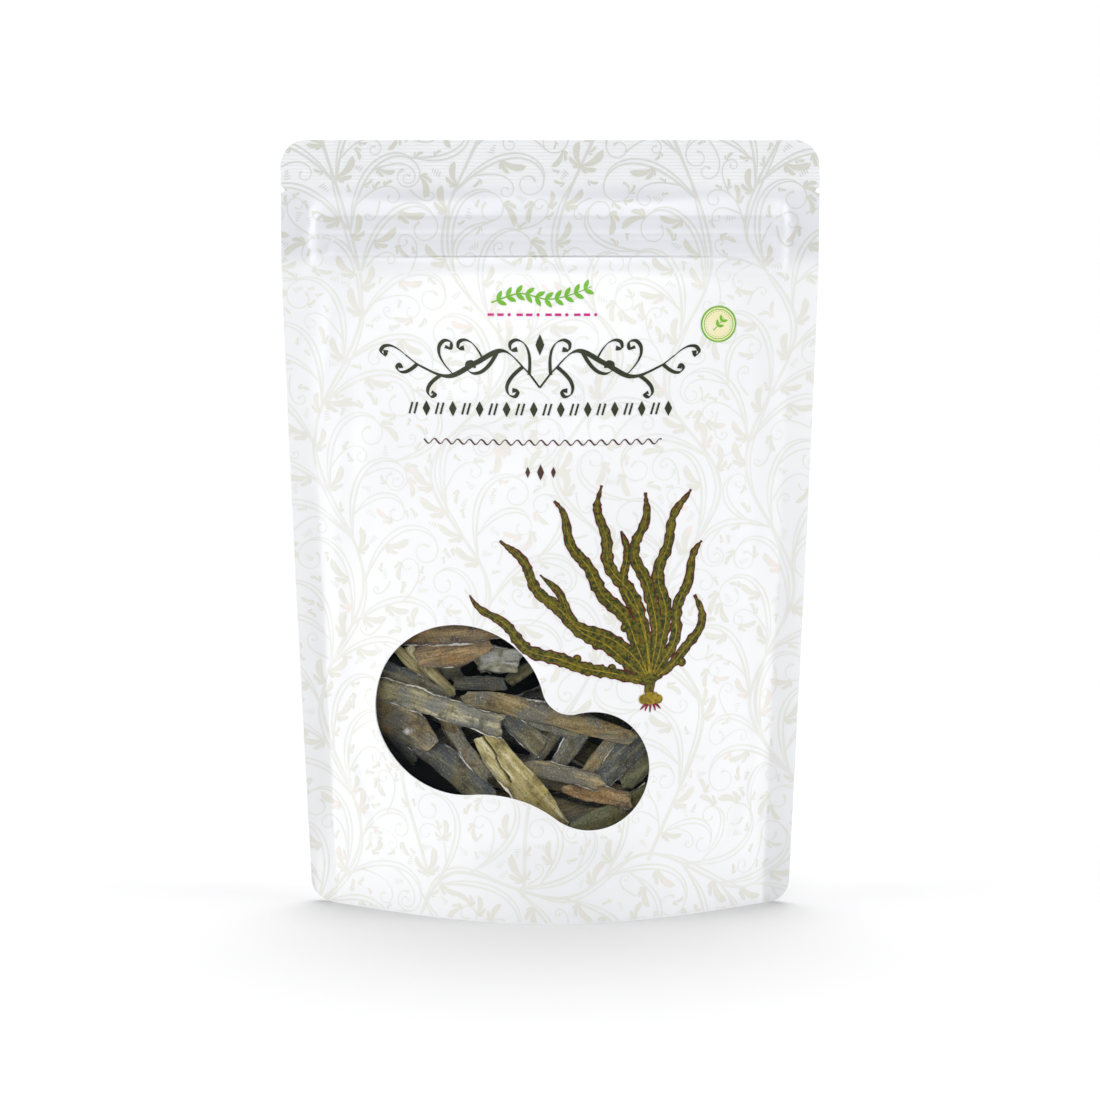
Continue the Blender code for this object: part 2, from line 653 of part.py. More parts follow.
def random_strip(draw):
    """A strap somewhere in the belly, mostly sloping down to the right, waved and curled by drying."""
    length = draw.uniform(*RULE_LENGTH)
    middle_x = draw.gauss(*RULE_MIDDLE_X)
    middle_z = draw.uniform(*RULE_MIDDLE_HEIGHT)
    slope = math.radians(draw.gauss(*RULE_SLOPE))
    reach_x = length / 2 * math.cos(slope)
    reach_z = length / 2 * math.sin(slope)
    return Strip(
        (middle_x - reach_x, middle_z - reach_z),
        (middle_x + reach_x, middle_z + reach_z),
        draw.uniform(*RULE_WIDTH),
        draw.uniform(*RULE_BOW),
        draw.choice(("brown", "dark", "dark", "olive")),
        roll=draw.uniform(*RULE_ROLL),
        twist=draw.uniform(*RULE_TWIST),
        wave=draw.uniform(*RULE_WAVE),
        cup=draw.choice((-1, 1)) * draw.uniform(*RULE_CUP),
        taper=(draw.uniform(*RULE_TAPER), draw.uniform(*RULE_TAPER)),
    )


def best_random_strip(heap, draw):
    """Of a few random straps that fit, the one that lies furthest forward, which fills the hollows first."""
    found = []
    while len(found) < TRIES_FOR_EACH:
        strip = random_strip(draw)
        stations, line, _ = laid(heap, strip)
        if not fits(heap, strip, stations, line):
            continue
        places, _, _ = strip_path(strip, stations)
        i, j = heap.cells(places[:, 0], places[:, 1])
        found.append(((line - heap.front[i, j]).mean(), strip))
    return min(found, key=lambda pair: pair[0])[1]


def seaweed(finishes):
    """The straps that show in the window, laid by hand, and those behind and round them, laid by rule."""
    heap = Heap()
    draw = random.Random(RULE_SEED)
    for number in range(len(WINDOW_STRIPS) + RULE_STRIPS):
        if number < len(WINDOW_STRIPS):
            strip = WINDOW_STRIPS[number]
        else:
            strip = best_random_strip(heap, draw)
        stations, line, length = settle(heap, strip)
        strip_solid(f"strap_{number + 1:02d}", strip, stations, line, length, finishes[strip.colour])


def main():
    clear_scene()
    printed = material("printed_film", (0.86, 0.86, 0.87), 0.42)
    clear = material("clear_film", (0.95, 0.96, 0.97), 0.08, alpha=0.25)
    zip_plastic = material("zip_plastic", (0.88, 0.89, 0.9), 0.3)
    finishes = {
        "brown": material("dried_brown", (0.085, 0.058, 0.032), 0.62),
        "olive": material("dried_olive", (0.16, 0.13, 0.055), 0.6),
        "dark": material("dried_dark", (0.035, 0.034, 0.033), 0.66),
        "pale": material("dried_pale", (0.3, 0.3, 0.24), 0.7),
    }
    wall_panel("front_panel", -1, printed, window=True)
    wall_panel("back_panel", 1, printed, window=False)
    window_film(clear)
    base_gusset(printed)
    press_to_close_zip(zip_plastic)
    seaweed(finishes)


main()
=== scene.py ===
# %% [markdown]
# A stand-up pouch of dried sea spaghetti, dressed for its portrait.
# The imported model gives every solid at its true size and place, in metres, with the front facing -Y.
# This lesson gives each solid its real surface: a satin printed film that creases where it is sealed,
# a clear window, and leathery dried straps with salt on them.

# %% Load the frame
import json
import math
import random

import bmesh
import bpy
import numpy as np
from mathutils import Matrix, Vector


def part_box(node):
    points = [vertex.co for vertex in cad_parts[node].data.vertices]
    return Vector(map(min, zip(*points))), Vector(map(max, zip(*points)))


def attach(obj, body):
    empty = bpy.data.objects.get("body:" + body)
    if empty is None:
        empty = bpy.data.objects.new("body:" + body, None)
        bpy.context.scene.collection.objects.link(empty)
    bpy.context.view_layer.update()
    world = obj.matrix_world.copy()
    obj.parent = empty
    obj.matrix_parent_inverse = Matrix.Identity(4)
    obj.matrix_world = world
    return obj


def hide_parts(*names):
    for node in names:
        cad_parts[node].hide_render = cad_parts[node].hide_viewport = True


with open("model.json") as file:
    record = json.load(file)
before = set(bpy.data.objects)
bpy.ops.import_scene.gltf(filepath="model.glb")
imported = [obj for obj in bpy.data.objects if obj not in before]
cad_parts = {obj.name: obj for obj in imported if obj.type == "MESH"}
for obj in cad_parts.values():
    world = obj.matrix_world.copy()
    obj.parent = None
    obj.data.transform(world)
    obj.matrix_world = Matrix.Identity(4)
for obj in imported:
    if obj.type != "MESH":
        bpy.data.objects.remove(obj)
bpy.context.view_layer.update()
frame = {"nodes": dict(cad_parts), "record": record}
MM = 0.001


# %% Put a piece in the scene
def meshed(made, name):
    """The mesh of a finished bmesh."""
    mesh = bpy.data.meshes.new(name)
    made.to_mesh(mesh)
    made.free()
    return mesh


def placed(name, data):
    """A new object at the scene's origin."""
    piece = bpy.data.objects.new(name, data)
    bpy.context.scene.collection.objects.link(piece)
    return piece


# %% [markdown]
# The camera stands 1.5 m in front and looks down by 9.5 degrees, as the photograph does: the straight bottom
# seal shows as an arc, and that arc's depth gives the angle. A long lens keeps the sides nearly parallel.

# %% Place the camera
CAMERA_DISTANCE = 1.5
CAMERA_ELEVATION = math.radians(9.5)
CAMERA_TARGET = Vector((0, 0, 0.1086))
CAMERA_LENS = 163.3
SENSOR_WIDTH = 36

camera_data = bpy.data.cameras.new("camera")
camera_data.lens = CAMERA_LENS
camera_data.sensor_width = SENSOR_WIDTH
camera = placed("camera", camera_data)
toward_camera = Vector((0, -math.cos(CAMERA_ELEVATION), math.sin(CAMERA_ELEVATION)))
camera.location = CAMERA_TARGET + toward_camera * CAMERA_DISTANCE
camera.rotation_euler = (-toward_camera).to_track_quat("-Z", "Y").to_euler()
bpy.context.scene.camera = camera
print("camera at", [round(value, 3) for value in camera.location])

# %% [markdown]
# A pouch is made of flat film, so every place on it has a flat address: how far across from the middle line,
# and how high. The filled pouch bows that flat sheet into a half cosine between its side seals, without
# stretching it, so the seals draw in as the belly grows. The next two cells give the bowed place of any flat
# address. They work on whole arrays, because a fine sheet has tens of thousands of points.

# %% The bag's driving sizes
BAG_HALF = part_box("front_panel")[1].x
BAG_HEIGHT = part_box("front_panel")[1].z
SIDE_SEAL = 8 * MM
FLAT = BAG_HALF - SIDE_SEAL
FILM = 0.5 * MM
LAYER_GAP = 0.3 * MM
BASE_HALF_DEPTH = 28 * MM
CLOSED_HEIGHT = 197 * MM
BULGE_POWER = 1.2
CLOSING_POWER = 0.6
# A half cosine's arc is longer than its chord by about this share of (depth / half chord) squared
COSINE_ARC = math.pi**2 / 16
BOW_ROUNDS = 5
ZIP_HEIGHT = 203.4 * MM
ZIP_ROOM = 1.75 * MM
ZIP_WALL_HALF_HEIGHT = 6.6 * MM
ZIP_WALL_SLOPE = 5 * MM
ZIP_END_SLOPE = 4 * MM
TOP_SEAL_LOW = 219 * MM
FRONT, BACK = -1, 1
print("film from seal to seal:", round(2 * FLAT / MM), "mm")


# %% Bow the flat film
def smooth(values):
    """An S-curve from 0 to 1."""
    values = np.clip(values, 0, 1)
    return values * values * (3 - 2 * values)


def half_depth(height):
    """How far the filled belly stands out from the pouch's middle plane."""
    share = np.clip(height / CLOSED_HEIGHT, 0, 1)
    return BASE_HALF_DEPTH * (1 - share**BULGE_POWER) ** CLOSING_POWER


def half_chord(height):
    """Half the way between the side seals."""
    return (FLAT + np.sqrt(FLAT**2 - 4 * COSINE_ARC * half_depth(height) ** 2)) / 2


def zip_lift(across, height):
    """The room that each wall gives the press-to-close strip."""
    up = (ZIP_WALL_HALF_HEIGHT + ZIP_WALL_SLOPE - np.abs(height - ZIP_HEIGHT)) / ZIP_WALL_SLOPE
    side = (FLAT - np.abs(across)) / ZIP_END_SLOPE
    return ZIP_ROOM * smooth(up) * smooth(side)


def across_at(x, height):
    """The flat address that is seen at x from the front."""
    chord = half_chord(height)
    slack = COSINE_ARC * (half_depth(height) / chord) ** 2
    inside = x * (1 + slack) - slack * chord / math.pi * np.sin(math.pi * x / chord)
    return np.where(np.abs(x) < chord, inside, np.copysign(FLAT + np.abs(x) - chord, x))


def bowed(across, height):
    """(x, distance from the pouch's middle plane) of a flat address."""
    chord = half_chord(height)
    bow = half_depth(height)
    slack = COSINE_ARC * (bow / chord) ** 2
    x = across
    for _ in range(BOW_ROUNDS):
        x = (across + slack * chord / math.pi * np.sin(math.pi * x / chord)) / (1 + slack)
    inside = np.abs(across) < FLAT
    depth = bow * np.cos(math.pi * x / (2 * chord)) + zip_lift(across, height)
    x = np.where(inside, x, np.copysign(chord + np.abs(across) - FLAT, across))
    return x, np.where(inside, depth, 0)


print("belly half depth at 60 mm:", round(float(half_depth(np.array([0.06]))[0]) / MM, 1), "mm")

# %% [markdown]
# Film never lies even. Heat seals pucker, the zip prints its ribs through the wall, the head space dents, and
# the belly swells softly over the straps. Each is a small push outwards, added up in one function, so that
# the wall, the window and the print all follow the same creases.

# %% Soft noise and folds
NOISE_CELLS = 256


def soft_noise(across, height, size, seed):
    """Smooth random heights from -1 to 1, with about one bump for each size of film."""
    grid = np.random.default_rng(seed).uniform(-1, 1, (NOISE_CELLS, NOISE_CELLS))
    a = across / size + NOISE_CELLS / 2
    b = height / size + NOISE_CELLS / 4
    i = np.floor(a).astype(int)
    j = np.floor(b).astype(int)
    p = smooth(a - i)
    q = smooth(b - j)
    left, right = i % NOISE_CELLS, (i + 1) % NOISE_CELLS
    low, high = (
        grid[left, row % NOISE_CELLS] * (1 - p) + grid[right, row % NOISE_CELLS] * p for row in (j, j + 1)
    )
    return low * (1 - q) + high * q


def hump(value, middle, width):
    """A smooth bump that rises to 1 at its middle."""
    return np.exp(-(((value - middle) / width) ** 2))


def fold(across, height, centre, angle, length, width):
    """One long soft fold: its middle, its direction, and half its length and width."""
    turn = math.radians(angle)
    a = across - centre[0] * MM
    b = height - centre[1] * MM
    along = a * math.cos(turn) + b * math.sin(turn)
    aside = b * math.cos(turn) - a * math.sin(turn)
    return np.exp(-((along / (length * MM)) ** 2) - (aside / (width * MM)) ** 2)


# %% Place the folds
# (centre, angle, half length, half width, rise), in mm and degrees
FRONT_FOLDS = [
    ((-69, 206), 78, 6, 1.1, 0.55),
    ((-67, 199), 62, 5, 1.0, -0.5),
    ((69, 208), 97, 7, 1.2, 0.6),
    ((66.5, 201), 112, 5, 1.0, 0.45),
    ((70.5, 196), 84, 5, 1.0, -0.5),
    ((-66, 178), 84, 16, 2.2, 0.5),
    ((-60, 140), 88, 26, 3.0, -0.45),
    ((-67, 96), 91, 24, 2.2, 0.4),
    ((66, 168), 95, 18, 2.4, 0.5),
    ((63, 118), 90, 30, 2.8, -0.4),
    ((67.5, 70), 88, 22, 2.0, 0.45),
    ((-56, 26), 128, 16, 2.6, -0.6),
    ((-64, 40), 108, 14, 2.0, 0.55),
    ((57, 25), 54, 16, 2.6, -0.6),
    ((65, 38), 74, 14, 2.0, 0.5),
    ((2, 24), 2, 34, 4.0, 0.35),
    ((-6, 183), 3, 30, 5.0, -0.4),
    ((38, 188), -8, 16, 3.4, 0.35),
]
BACK_FOLDS = [
    ((-a, h), -angle, length, width, 1.1 * rise) for (a, h), angle, length, width, rise in FRONT_FOLDS
]
FOLDS = {FRONT: FRONT_FOLDS, BACK: BACK_FOLDS}

# Above the belly both walls touch, so their folds there are shared, and a rise leans back
HEAD_FOLDS = [
    ((-38, 214.6), 2, 13, 3.0, 1.3),
    ((-8, 213.4), -2, 10, 2.4, -0.7),
    ((27, 214.4), -3, 13, 3.0, 1.2),
    ((58, 214.0), 4, 8, 2.2, -0.7),
    ((-62, 213.4), -6, 7, 2.2, -0.6),
]

# The zip's ribs and the edges of its tape, as they show through: (height from the zip's middle, width, rise)
ZIP_LINES = [(6.2, 0.55, 0.28), (2.3, 0.6, -0.12), (0.9, 0.6, 0.3), (-0.9, 0.6, 0.26), (-5.9, 0.7, 0.2)]
# How far the seals press each wall towards the other, and over what width that starts
SEAL_PRESS = LAYER_GAP / 2 - 0.02 * MM
SEAL_SLOPE = 2 * MM
print("folds on each wall:", len(FRONT_FOLDS))

# %% Add the folds up
# The belly's swells: (rise, size of one bump, seed), in mm
SWELLS = [(0.9, 33, 4), (0.42, 14, 9)]
SWELL_RUN_IN, SWELL_SIDE_RUN_IN = 30 * MM, 16 * MM
# A crumple at each end of the zip, and a pucker along each side seal
CRUMPLE_ACROSS, CRUMPLE_WIDTH, CRUMPLE_HEIGHT = 70 * MM, 3.6 * MM, 8 * MM
CRUMPLE_RISE, CRUMPLE_SIZE = 0.7 * MM, 3.4 * MM
PUCKER_ACROSS, PUCKER_WIDTH = FLAT - 1.5 * MM, 3.2 * MM
PUCKER_RISE, PUCKER_SIZE = 0.45 * MM, 6.5 * MM
# The loose rims lean, the left foot turns back and the head waves: (rise, size of one bump)
LEAN, LEAN_SIZE = 0.9 * MM, 27 * MM
FOOT_TURN = 3 * MM
HEAD_WAVE, HEAD_WAVE_SIZE = 0.7 * MM, 38 * MM
NORMAL_STEP = 0.4 * MM


def creases(across, height, side):
    """How far the film stands out from its even shape."""
    aside = np.abs(across)
    belly = smooth(height / SWELL_RUN_IN) * smooth((CLOSED_HEIGHT - height) / SWELL_RUN_IN)
    belly *= smooth((FLAT - aside) / SWELL_SIDE_RUN_IN)
    out = 0
    for rise, size, seed in SWELLS:
        out += rise * MM * belly * soft_noise(across, height, size * MM, seed + side)
    for centre, angle, length, width, rise in FOLDS[side]:
        out += rise * MM * fold(across, height, centre, angle, length, width)
    inner = smooth((FLAT - 2 * MM - aside) / (3 * MM))
    for up, width, rise in ZIP_LINES:
        out += rise * MM * hump(height, ZIP_HEIGHT + up * MM, width * MM) * inner
    crumple = hump(aside, CRUMPLE_ACROSS, CRUMPLE_WIDTH) * hump(height, ZIP_HEIGHT, CRUMPLE_HEIGHT)
    out += CRUMPLE_RISE * crumple * soft_noise(across, height, CRUMPLE_SIZE, 30 + side)
    pucker = hump(aside, PUCKER_ACROSS, PUCKER_WIDTH) * smooth(height / (12 * MM))
    pucker *= smooth((TOP_SEAL_LOW - height) / (10 * MM))
    out += PUCKER_RISE * pucker * soft_noise(across * 0.25, height, PUCKER_SIZE, 50 + side)
    sealed = np.maximum(smooth((aside - FLAT) / SEAL_SLOPE), smooth((height - TOP_SEAL_LOW) / SEAL_SLOPE))
    return out - SEAL_PRESS * sealed


def sway(across, height):
    """How far the seals, where both walls are one, lean back together."""
    rim = smooth((np.abs(across) - 69 * MM) / (11 * MM))
    left_foot = smooth((-across - 71 * MM) / (9 * MM)) * smooth((30 * MM - height) / (24 * MM))
    head = smooth((height - 210 * MM) / (14 * MM))
    back = LEAN * rim * soft_noise(across * 0.2, height, LEAN_SIZE, 70) + FOOT_TURN * left_foot
    back += HEAD_WAVE * head * soft_noise(across, height * 0.3, HEAD_WAVE_SIZE, 71)
    for centre, angle, length, width, rise in HEAD_FOLDS:
        back += rise * MM * fold(across, height, centre, angle, length, width)
    return back


def film_place(across, height, out, side):
    """The points of a wall's film at flat addresses, standing out from the shared middle face by out."""

    def face(a, h):
        x, depth = bowed(a, h)
        return np.stack([x, side * depth, h], axis=1)

    normal = np.cross(
        face(across + NORMAL_STEP, height) - face(across - NORMAL_STEP, height),
        face(across, height + NORMAL_STEP) - face(across, height - NORMAL_STEP),
    )
    # At the foot the film stays upright, so that it can't leave the floor
    normal[height < NORMAL_STEP, 2] = 0
    normal *= (np.sign(normal[:, 1] * side) / np.linalg.norm(normal, axis=1))[:, None]
    place = face(across, height) + normal * (out + creases(across, height, side))[:, None]
    place[:, 1] += sway(across, height)
    place[:, 2] = np.maximum(place[:, 2], 0)
    return place


print("deepest crease in mm:", round(min(rise for *_, rise in FRONT_FOLDS), 2))

# %% [markdown]
# Colours are picked as sRGB hex values, the way a printer's swatch is named, and turned to linear light once.
# One helper adds a node with its settings and links, so a material reads as a list of what it is made of.

# %% Colour and node helpers
def linear(hex_colour):
    """An sRGB hex colour as a linear RGBA."""
    values = [int(hex_colour[i : i + 2], 16) / 255 for i in (1, 3, 5)]
    values = [v / 12.92 if v <= 0.04045 else ((v + 0.055) / 1.055) ** 2.4 for v in values]
    return (*values, 1)


def add(tree, kind, inputs, **settings):
    """Adds a node. inputs gives each socket, by name or number, a value or the socket that feeds it."""
    made = tree.nodes.new("ShaderNode" + kind)
    for name, value in settings.items():
        setattr(made, name, value)
    for socket, value in inputs.items():
        if isinstance(value, bpy.types.NodeSocket):
            tree.links.new(value, made.inputs[socket])
        else:
            made.inputs[socket].default_value = value
    return made


def principled(name, **values):
    """A material and its Principled shader. A value's name is its socket's, with _ for a space."""
    made = bpy.data.materials.new(name)
    made.use_nodes = True
    shader = made.node_tree.nodes["Principled BSDF"]
    for key, value in values.items():
        shader.inputs[key.replace("_", " ")].default_value = value
    return made, shader


print("white film in linear light:", [round(value, 2) for value in linear("#F2F3F6")[:3]])

# %% [markdown]
# The film is a laminate: a satin matt polypropylene skin over white polyethylene, reverse printed and heat
# sealed. Satin means a broad soft highlight, so the roughness is near 0.4. Above the zip the film is painted
# a little greyer than over the belly, as painted shade. The press that seals the top leaves fine level ribs,
# about 1 mm apart, and the skin has a faint orange peel. Both are bump, too fine to model.

# %% Film materials
RIB_SPACING = 1.0 * MM
ORANGE_PEEL = 2.6 * MM
TINT_PATCH = 45 * MM
SHADE_MOTTLE_SIZE = 1.2 * MM
# Over these heights the film and two inks turn greyer: painted shade above the zip
HEAD_SHADE_LOW, HEAD_SHADE_HIGH = 193 * MM, 199 * MM
SEALED_FROM = 66 * MM
# A Wave texture of scale 1 repeats every tau / 20
WAVE_REPEAT = math.tau / 20


def head_shade_share(tree, place):
    """Rises from 0 to 1 over the zip: above it the film and inks are painted greyer, as painted shade."""
    height = add(tree, "SeparateXYZ", {0: place}).outputs["Z"]
    settings = {0: height, 1: HEAD_SHADE_LOW, 2: HEAD_SHADE_HIGH}
    return add(tree, "MapRange", settings, interpolation_type="SMOOTHSTEP").outputs[0]


def printed_laminate():
    """The film of the walls and the base, seen from outside."""
    made, shader = principled("satin_pp_pe_laminate", Roughness=0.4, IOR=1.49)
    tree = made.node_tree
    place = add(tree, "TexCoord", {}).outputs["Object"]
    height = add(tree, "SeparateXYZ", {0: place}).outputs["Z"]
    tint = add(tree, "TexNoise", {"Vector": place, "Scale": 1 / TINT_PATCH, "Detail": 2.0}).outputs["Fac"]
    tones = {0: tint, 6: linear("#F8F8F9"), 7: linear("#F2F3F6")}
    body = add(tree, "Mix", tones, data_type="RGBA").outputs[2]
    # Above the zip the film turns greyer, as painted shade: darkest between the zip and the top seal
    fused = add(tree, "MapRange", {0: height, 1: TOP_SEAL_LOW - 3 * MM, 2: TOP_SEAL_LOW}).outputs[0]
    tones = {0: fused, 6: linear("#E5E7EB"), 7: linear("#EEEFF1")}
    head = add(tree, "Mix", tones, data_type="RGBA").outputs[2]
    colour = add(tree, "Mix", {0: head_shade_share(tree, place), 6: body, 7: head}, data_type="RGBA").outputs[2]
    tree.links.new(colour, shader.inputs["Base Color"])
    peel = add(tree, "TexNoise", {"Vector": place, "Scale": 1 / ORANGE_PEEL, "Detail": 1.0}).outputs["Fac"]
    skin = add(tree, "Bump", {"Height": peel, "Strength": 0.1, "Distance": 0.25 * MM}).outputs[0]
    wave = {"Vector": place, "Scale": WAVE_REPEAT / RIB_SPACING, "Distortion": 0.6, "Detail": 1.0}
    ribs = add(tree, "TexWave", wave, bands_direction="Z").outputs["Fac"]
    pressed = add(tree, "MapRange", {0: height, 1: TOP_SEAL_LOW, 2: TOP_SEAL_LOW + 1.5 * MM}).outputs[0]
    ribs = add(tree, "Math", {0: ribs, 1: pressed}, operation="MULTIPLY").outputs[0]
    raised = {"Height": ribs, "Strength": 0.45, "Distance": 0.2 * MM, "Normal": skin}
    relief = add(tree, "Bump", raised).outputs[0]
    tree.links.new(relief, shader.inputs["Normal"])
    return made


def inner_face_painted_shade():
    """The laminate's inner face: painted near black, as painted shade inside the pouch, and pale where it is
    sealed.
    """
    made, shader = principled("inner_film_painted_shade", Roughness=0.5)
    tree = made.node_tree
    place = add(tree, "TexCoord", {}).outputs["Object"]
    shade_mottle = add(tree, "TexNoise", {"Vector": place, "Scale": 1 / SHADE_MOTTLE_SIZE, "Detail": 3.0}).outputs["Fac"]
    # Near-black tones, mottled at random: painted shade for the dark inside of the pouch
    tones = {0: shade_mottle, 6: linear("#121213"), 7: linear("#222223")}
    tone = add(tree, "Mix", tones, data_type="RGBA").outputs[2]
    spot = add(tree, "SeparateXYZ", {0: place})
    off_middle = add(tree, "Math", {0: spot.outputs["X"]}, operation="ABSOLUTE").outputs[0]
    beside = add(tree, "MapRange", {0: off_middle, 1: SEALED_FROM, 2: SEALED_FROM + 2 * MM}).outputs[0]
    up = {0: spot.outputs["Z"], 1: TOP_SEAL_LOW, 2: TOP_SEAL_LOW + 2 * MM}
    above = add(tree, "MapRange", up).outputs[0]
    sealed = add(tree, "Math", {0: beside, 1: above}, operation="MAXIMUM").outputs[0]
    tone = add(tree, "Mix", {0: sealed, 6: tone, 7: linear("#E4E4E6")}, data_type="RGBA").outputs[2]
    tree.links.new(tone, shader.inputs["Base Color"])
    return made


LAMINATE = printed_laminate()
INNER_SHADE_FILM = inner_face_painted_shade()
print("film materials:", LAMINATE.name, INNER_SHADE_FILM.name)

# %% [markdown]
# A wall starts as its flat outline, filled, then sliced by many planes into a fine lattice, and only then
# bowed. Slicing a flat sheet keeps the round corners, the tear notches and the window's edge crisp, which a
# plain grid could not. Solidify gives the film its thickness last.

# %% Outlines of the bag and the window
TOP_CORNER_RADIUS = 8 * MM
BOTTOM_CORNER_RADIUS = 7 * MM
NOTCH_HEIGHT = 217 * MM
NOTCH_DEPTH = 2.2 * MM
NOTCH_HALF_MOUTH = 1 * MM
WINDOW_LARGE = (-26.9 * MM, 63.3 * MM)
WINDOW_LARGE_RADIUS = 25.5 * MM
WINDOW_SMALL = (12.2 * MM, 45.8 * MM)
WINDOW_SMALL_RADIUS = 17.7 * MM
WINDOW_UPPER_FILLET = 8.6 * MM
WINDOW_LOWER_FILLET = 32.6 * MM
WINDOW_FILM = 0.3 * MM
WINDOW_SEAM = 5 * MM
CORNER_STEPS = {"bottom": 14, "top": 16}
WINDOW_STEPS = {"large": 110, "lower": 26, "small": 80, "upper": 16}


def arc(centre, radius, start, end, steps):
    """Points from angle start to angle end, both included."""
    angles = np.linspace(start, end, steps + 1)
    return [(centre[0] + radius * math.cos(a), centre[1] + radius * math.sin(a)) for a in angles]


def bag_outline():
    """The flat bag's outline, anticlockwise: round corners and a tear notch in each side."""
    quarter = math.pi / 2
    in_top = BAG_HALF - TOP_CORNER_RADIUS
    in_low = BAG_HALF - BOTTOM_CORNER_RADIUS
    right = arc((in_low, BOTTOM_CORNER_RADIUS), BOTTOM_CORNER_RADIUS, -quarter, 0, CORNER_STEPS["bottom"])
    for depth, up in ((0, -NOTCH_HALF_MOUTH), (NOTCH_DEPTH, 0), (0, NOTCH_HALF_MOUTH)):
        right.append((BAG_HALF - depth, NOTCH_HEIGHT + up))
    right += arc((in_top, BAG_HEIGHT - TOP_CORNER_RADIUS), TOP_CORNER_RADIUS, 0, quarter, CORNER_STEPS["top"])
    return right + [(-x, height) for x, height in reversed(right)]


def fillet_centre(radius, grow, side):
    """The centre of the arc that touches both window discs from outside. side is 1 above and -1 below."""
    a = Vector(WINDOW_LARGE)
    far_a = WINDOW_LARGE_RADIUS + grow + radius
    far_b = WINDOW_SMALL_RADIUS + grow + radius
    between = Vector(WINDOW_SMALL) - a
    along = (far_a**2 - far_b**2 + between.length_squared) / (2 * between.length)
    unit = between.normalized()
    return a + unit * along + Vector((-unit.y, unit.x)) * math.sqrt(far_a**2 - along**2) * side


def window_outline(grow=0):
    """The window's outline as flat addresses, moved outwards by grow."""
    a, b = Vector(WINDOW_LARGE), Vector(WINDOW_SMALL)
    upper = fillet_centre(WINDOW_UPPER_FILLET - grow, grow, 1)
    lower = fillet_centre(WINDOW_LOWER_FILLET - grow, grow, -1)

    def sweep(centre, radius, first, last, turn, name):
        start = math.atan2(first.y - centre.y, first.x - centre.x)
        end = math.atan2(last.y - centre.y, last.x - centre.x)
        end = start + turn * ((turn * (end - start)) % math.tau)
        return arc(centre, radius, start, end, WINDOW_STEPS[name])

    points = sweep(a, WINDOW_LARGE_RADIUS + grow, upper, lower, 1, "large")
    points += sweep(lower, WINDOW_LOWER_FILLET - grow, a, b, -1, "lower")[1:]
    points += sweep(b, WINDOW_SMALL_RADIUS + grow, lower, upper, 1, "small")[1:]
    points += sweep(upper, WINDOW_UPPER_FILLET - grow, b, a, -1, "upper")[1:-1]
    x, height = np.array(points).T
    return list(zip(across_at(x, height), height))


print("window outline points:", len(window_outline()))


# %% Make a film sheet
COLUMN_STEP = 1.6 * MM
ROW_STEP = 1.6 * MM
FINE_ROW_STEP = 0.5 * MM
FINE_ROWS = (194 * MM, 218 * MM)
# Two points nearer than MERGE_FILM are one, and a slice may miss a point by SLICE_MISS
MERGE_FILM = 0.03 * MM
SLICE_MISS = 1e-7


def film_rows():
    """The heights at which the film is sliced, close together over the zip."""
    rows = np.arange(ROW_STEP, BAG_HEIGHT, ROW_STEP)
    rows = rows[(rows < FINE_ROWS[0]) | (rows > FINE_ROWS[1])]
    return np.sort(np.concatenate([rows, np.arange(*FINE_ROWS, FINE_ROW_STEP)]))


def flat_sheet(loops, columns, rows):
    """A flat sheet inside the first loop and outside the others, sliced along columns and rows."""
    made = bmesh.new()
    edges = []
    for points in loops:
        verts = [made.verts.new((x, 0, height)) for x, height in points]
        edges += [made.edges.new(pair) for pair in zip(verts, verts[1:] + verts[:1])]
    bmesh.ops.triangle_fill(made, use_beauty=True, edges=edges, normal=(0, -1, 0))
    cuts = [((0, 0, row), (0, 0, 1)) for row in rows] + [((column, 0, 0), (1, 0, 0)) for column in columns]
    for point, normal in cuts:
        whole = made.verts[:] + made.edges[:] + made.faces[:]
        bmesh.ops.bisect_plane(made, geom=whole, dist=SLICE_MISS, plane_co=point, plane_no=normal)
    bmesh.ops.remove_doubles(made, verts=made.verts, dist=MERGE_FILM)
    return made


def on_film(made, name, out, side, thickness, *materials):
    """Lays a flat bmesh on a wall's film, out from it, and thickens it inwards. Its cut edges stay crisp."""
    for edge in made.edges:
        edge.smooth = not edge.is_boundary
    mesh = meshed(made, name)
    flat = np.zeros(len(mesh.vertices) * 3, np.float32)
    mesh.vertices.foreach_get("co", flat)
    flat = flat.reshape(-1, 3).astype(float)
    place = film_place(flat[:, 0], flat[:, 2], flat[:, 1] + out, side)
    mesh.vertices.foreach_set("co", place.astype(np.float32).ravel())
    mesh.update()
    if sum(face.normal.y * face.area for face in mesh.polygons) * side < 0:
        mesh.flip_normals()
    mesh.shade_smooth()
    piece = placed(name, mesh)
    for finish in materials:
        mesh.materials.append(finish)
    thick = piece.modifiers.new("thickness", "SOLIDIFY")
    thick.thickness = thickness
    thick.offset = -1
    thick.material_offset = len(materials) - 1
    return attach(piece, "root")


# %% The front and back walls
# Columns stand closer together this near to where the side seals start
SEAL_BEND = 5 * MM
columns = np.arange(-BAG_HALF + COLUMN_STEP, BAG_HALF, COLUMN_STEP)
between = columns[np.abs(np.abs(columns) - FLAT) < SEAL_BEND] + COLUMN_STEP / 2
columns = np.sort(np.concatenate([columns, between]))
WALL_OUT = LAYER_GAP / 2 + FILM


def wall(name, side, loops):
    made = flat_sheet(loops, columns, film_rows())
    # Inside, each wall is painted near black, as painted shade
    piece = on_film(made, name + "_film", WALL_OUT, side, FILM, LAMINATE, INNER_SHADE_FILM)
    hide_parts(name)
    print(piece.name, "faces:", len(piece.data.polygons))
    return piece


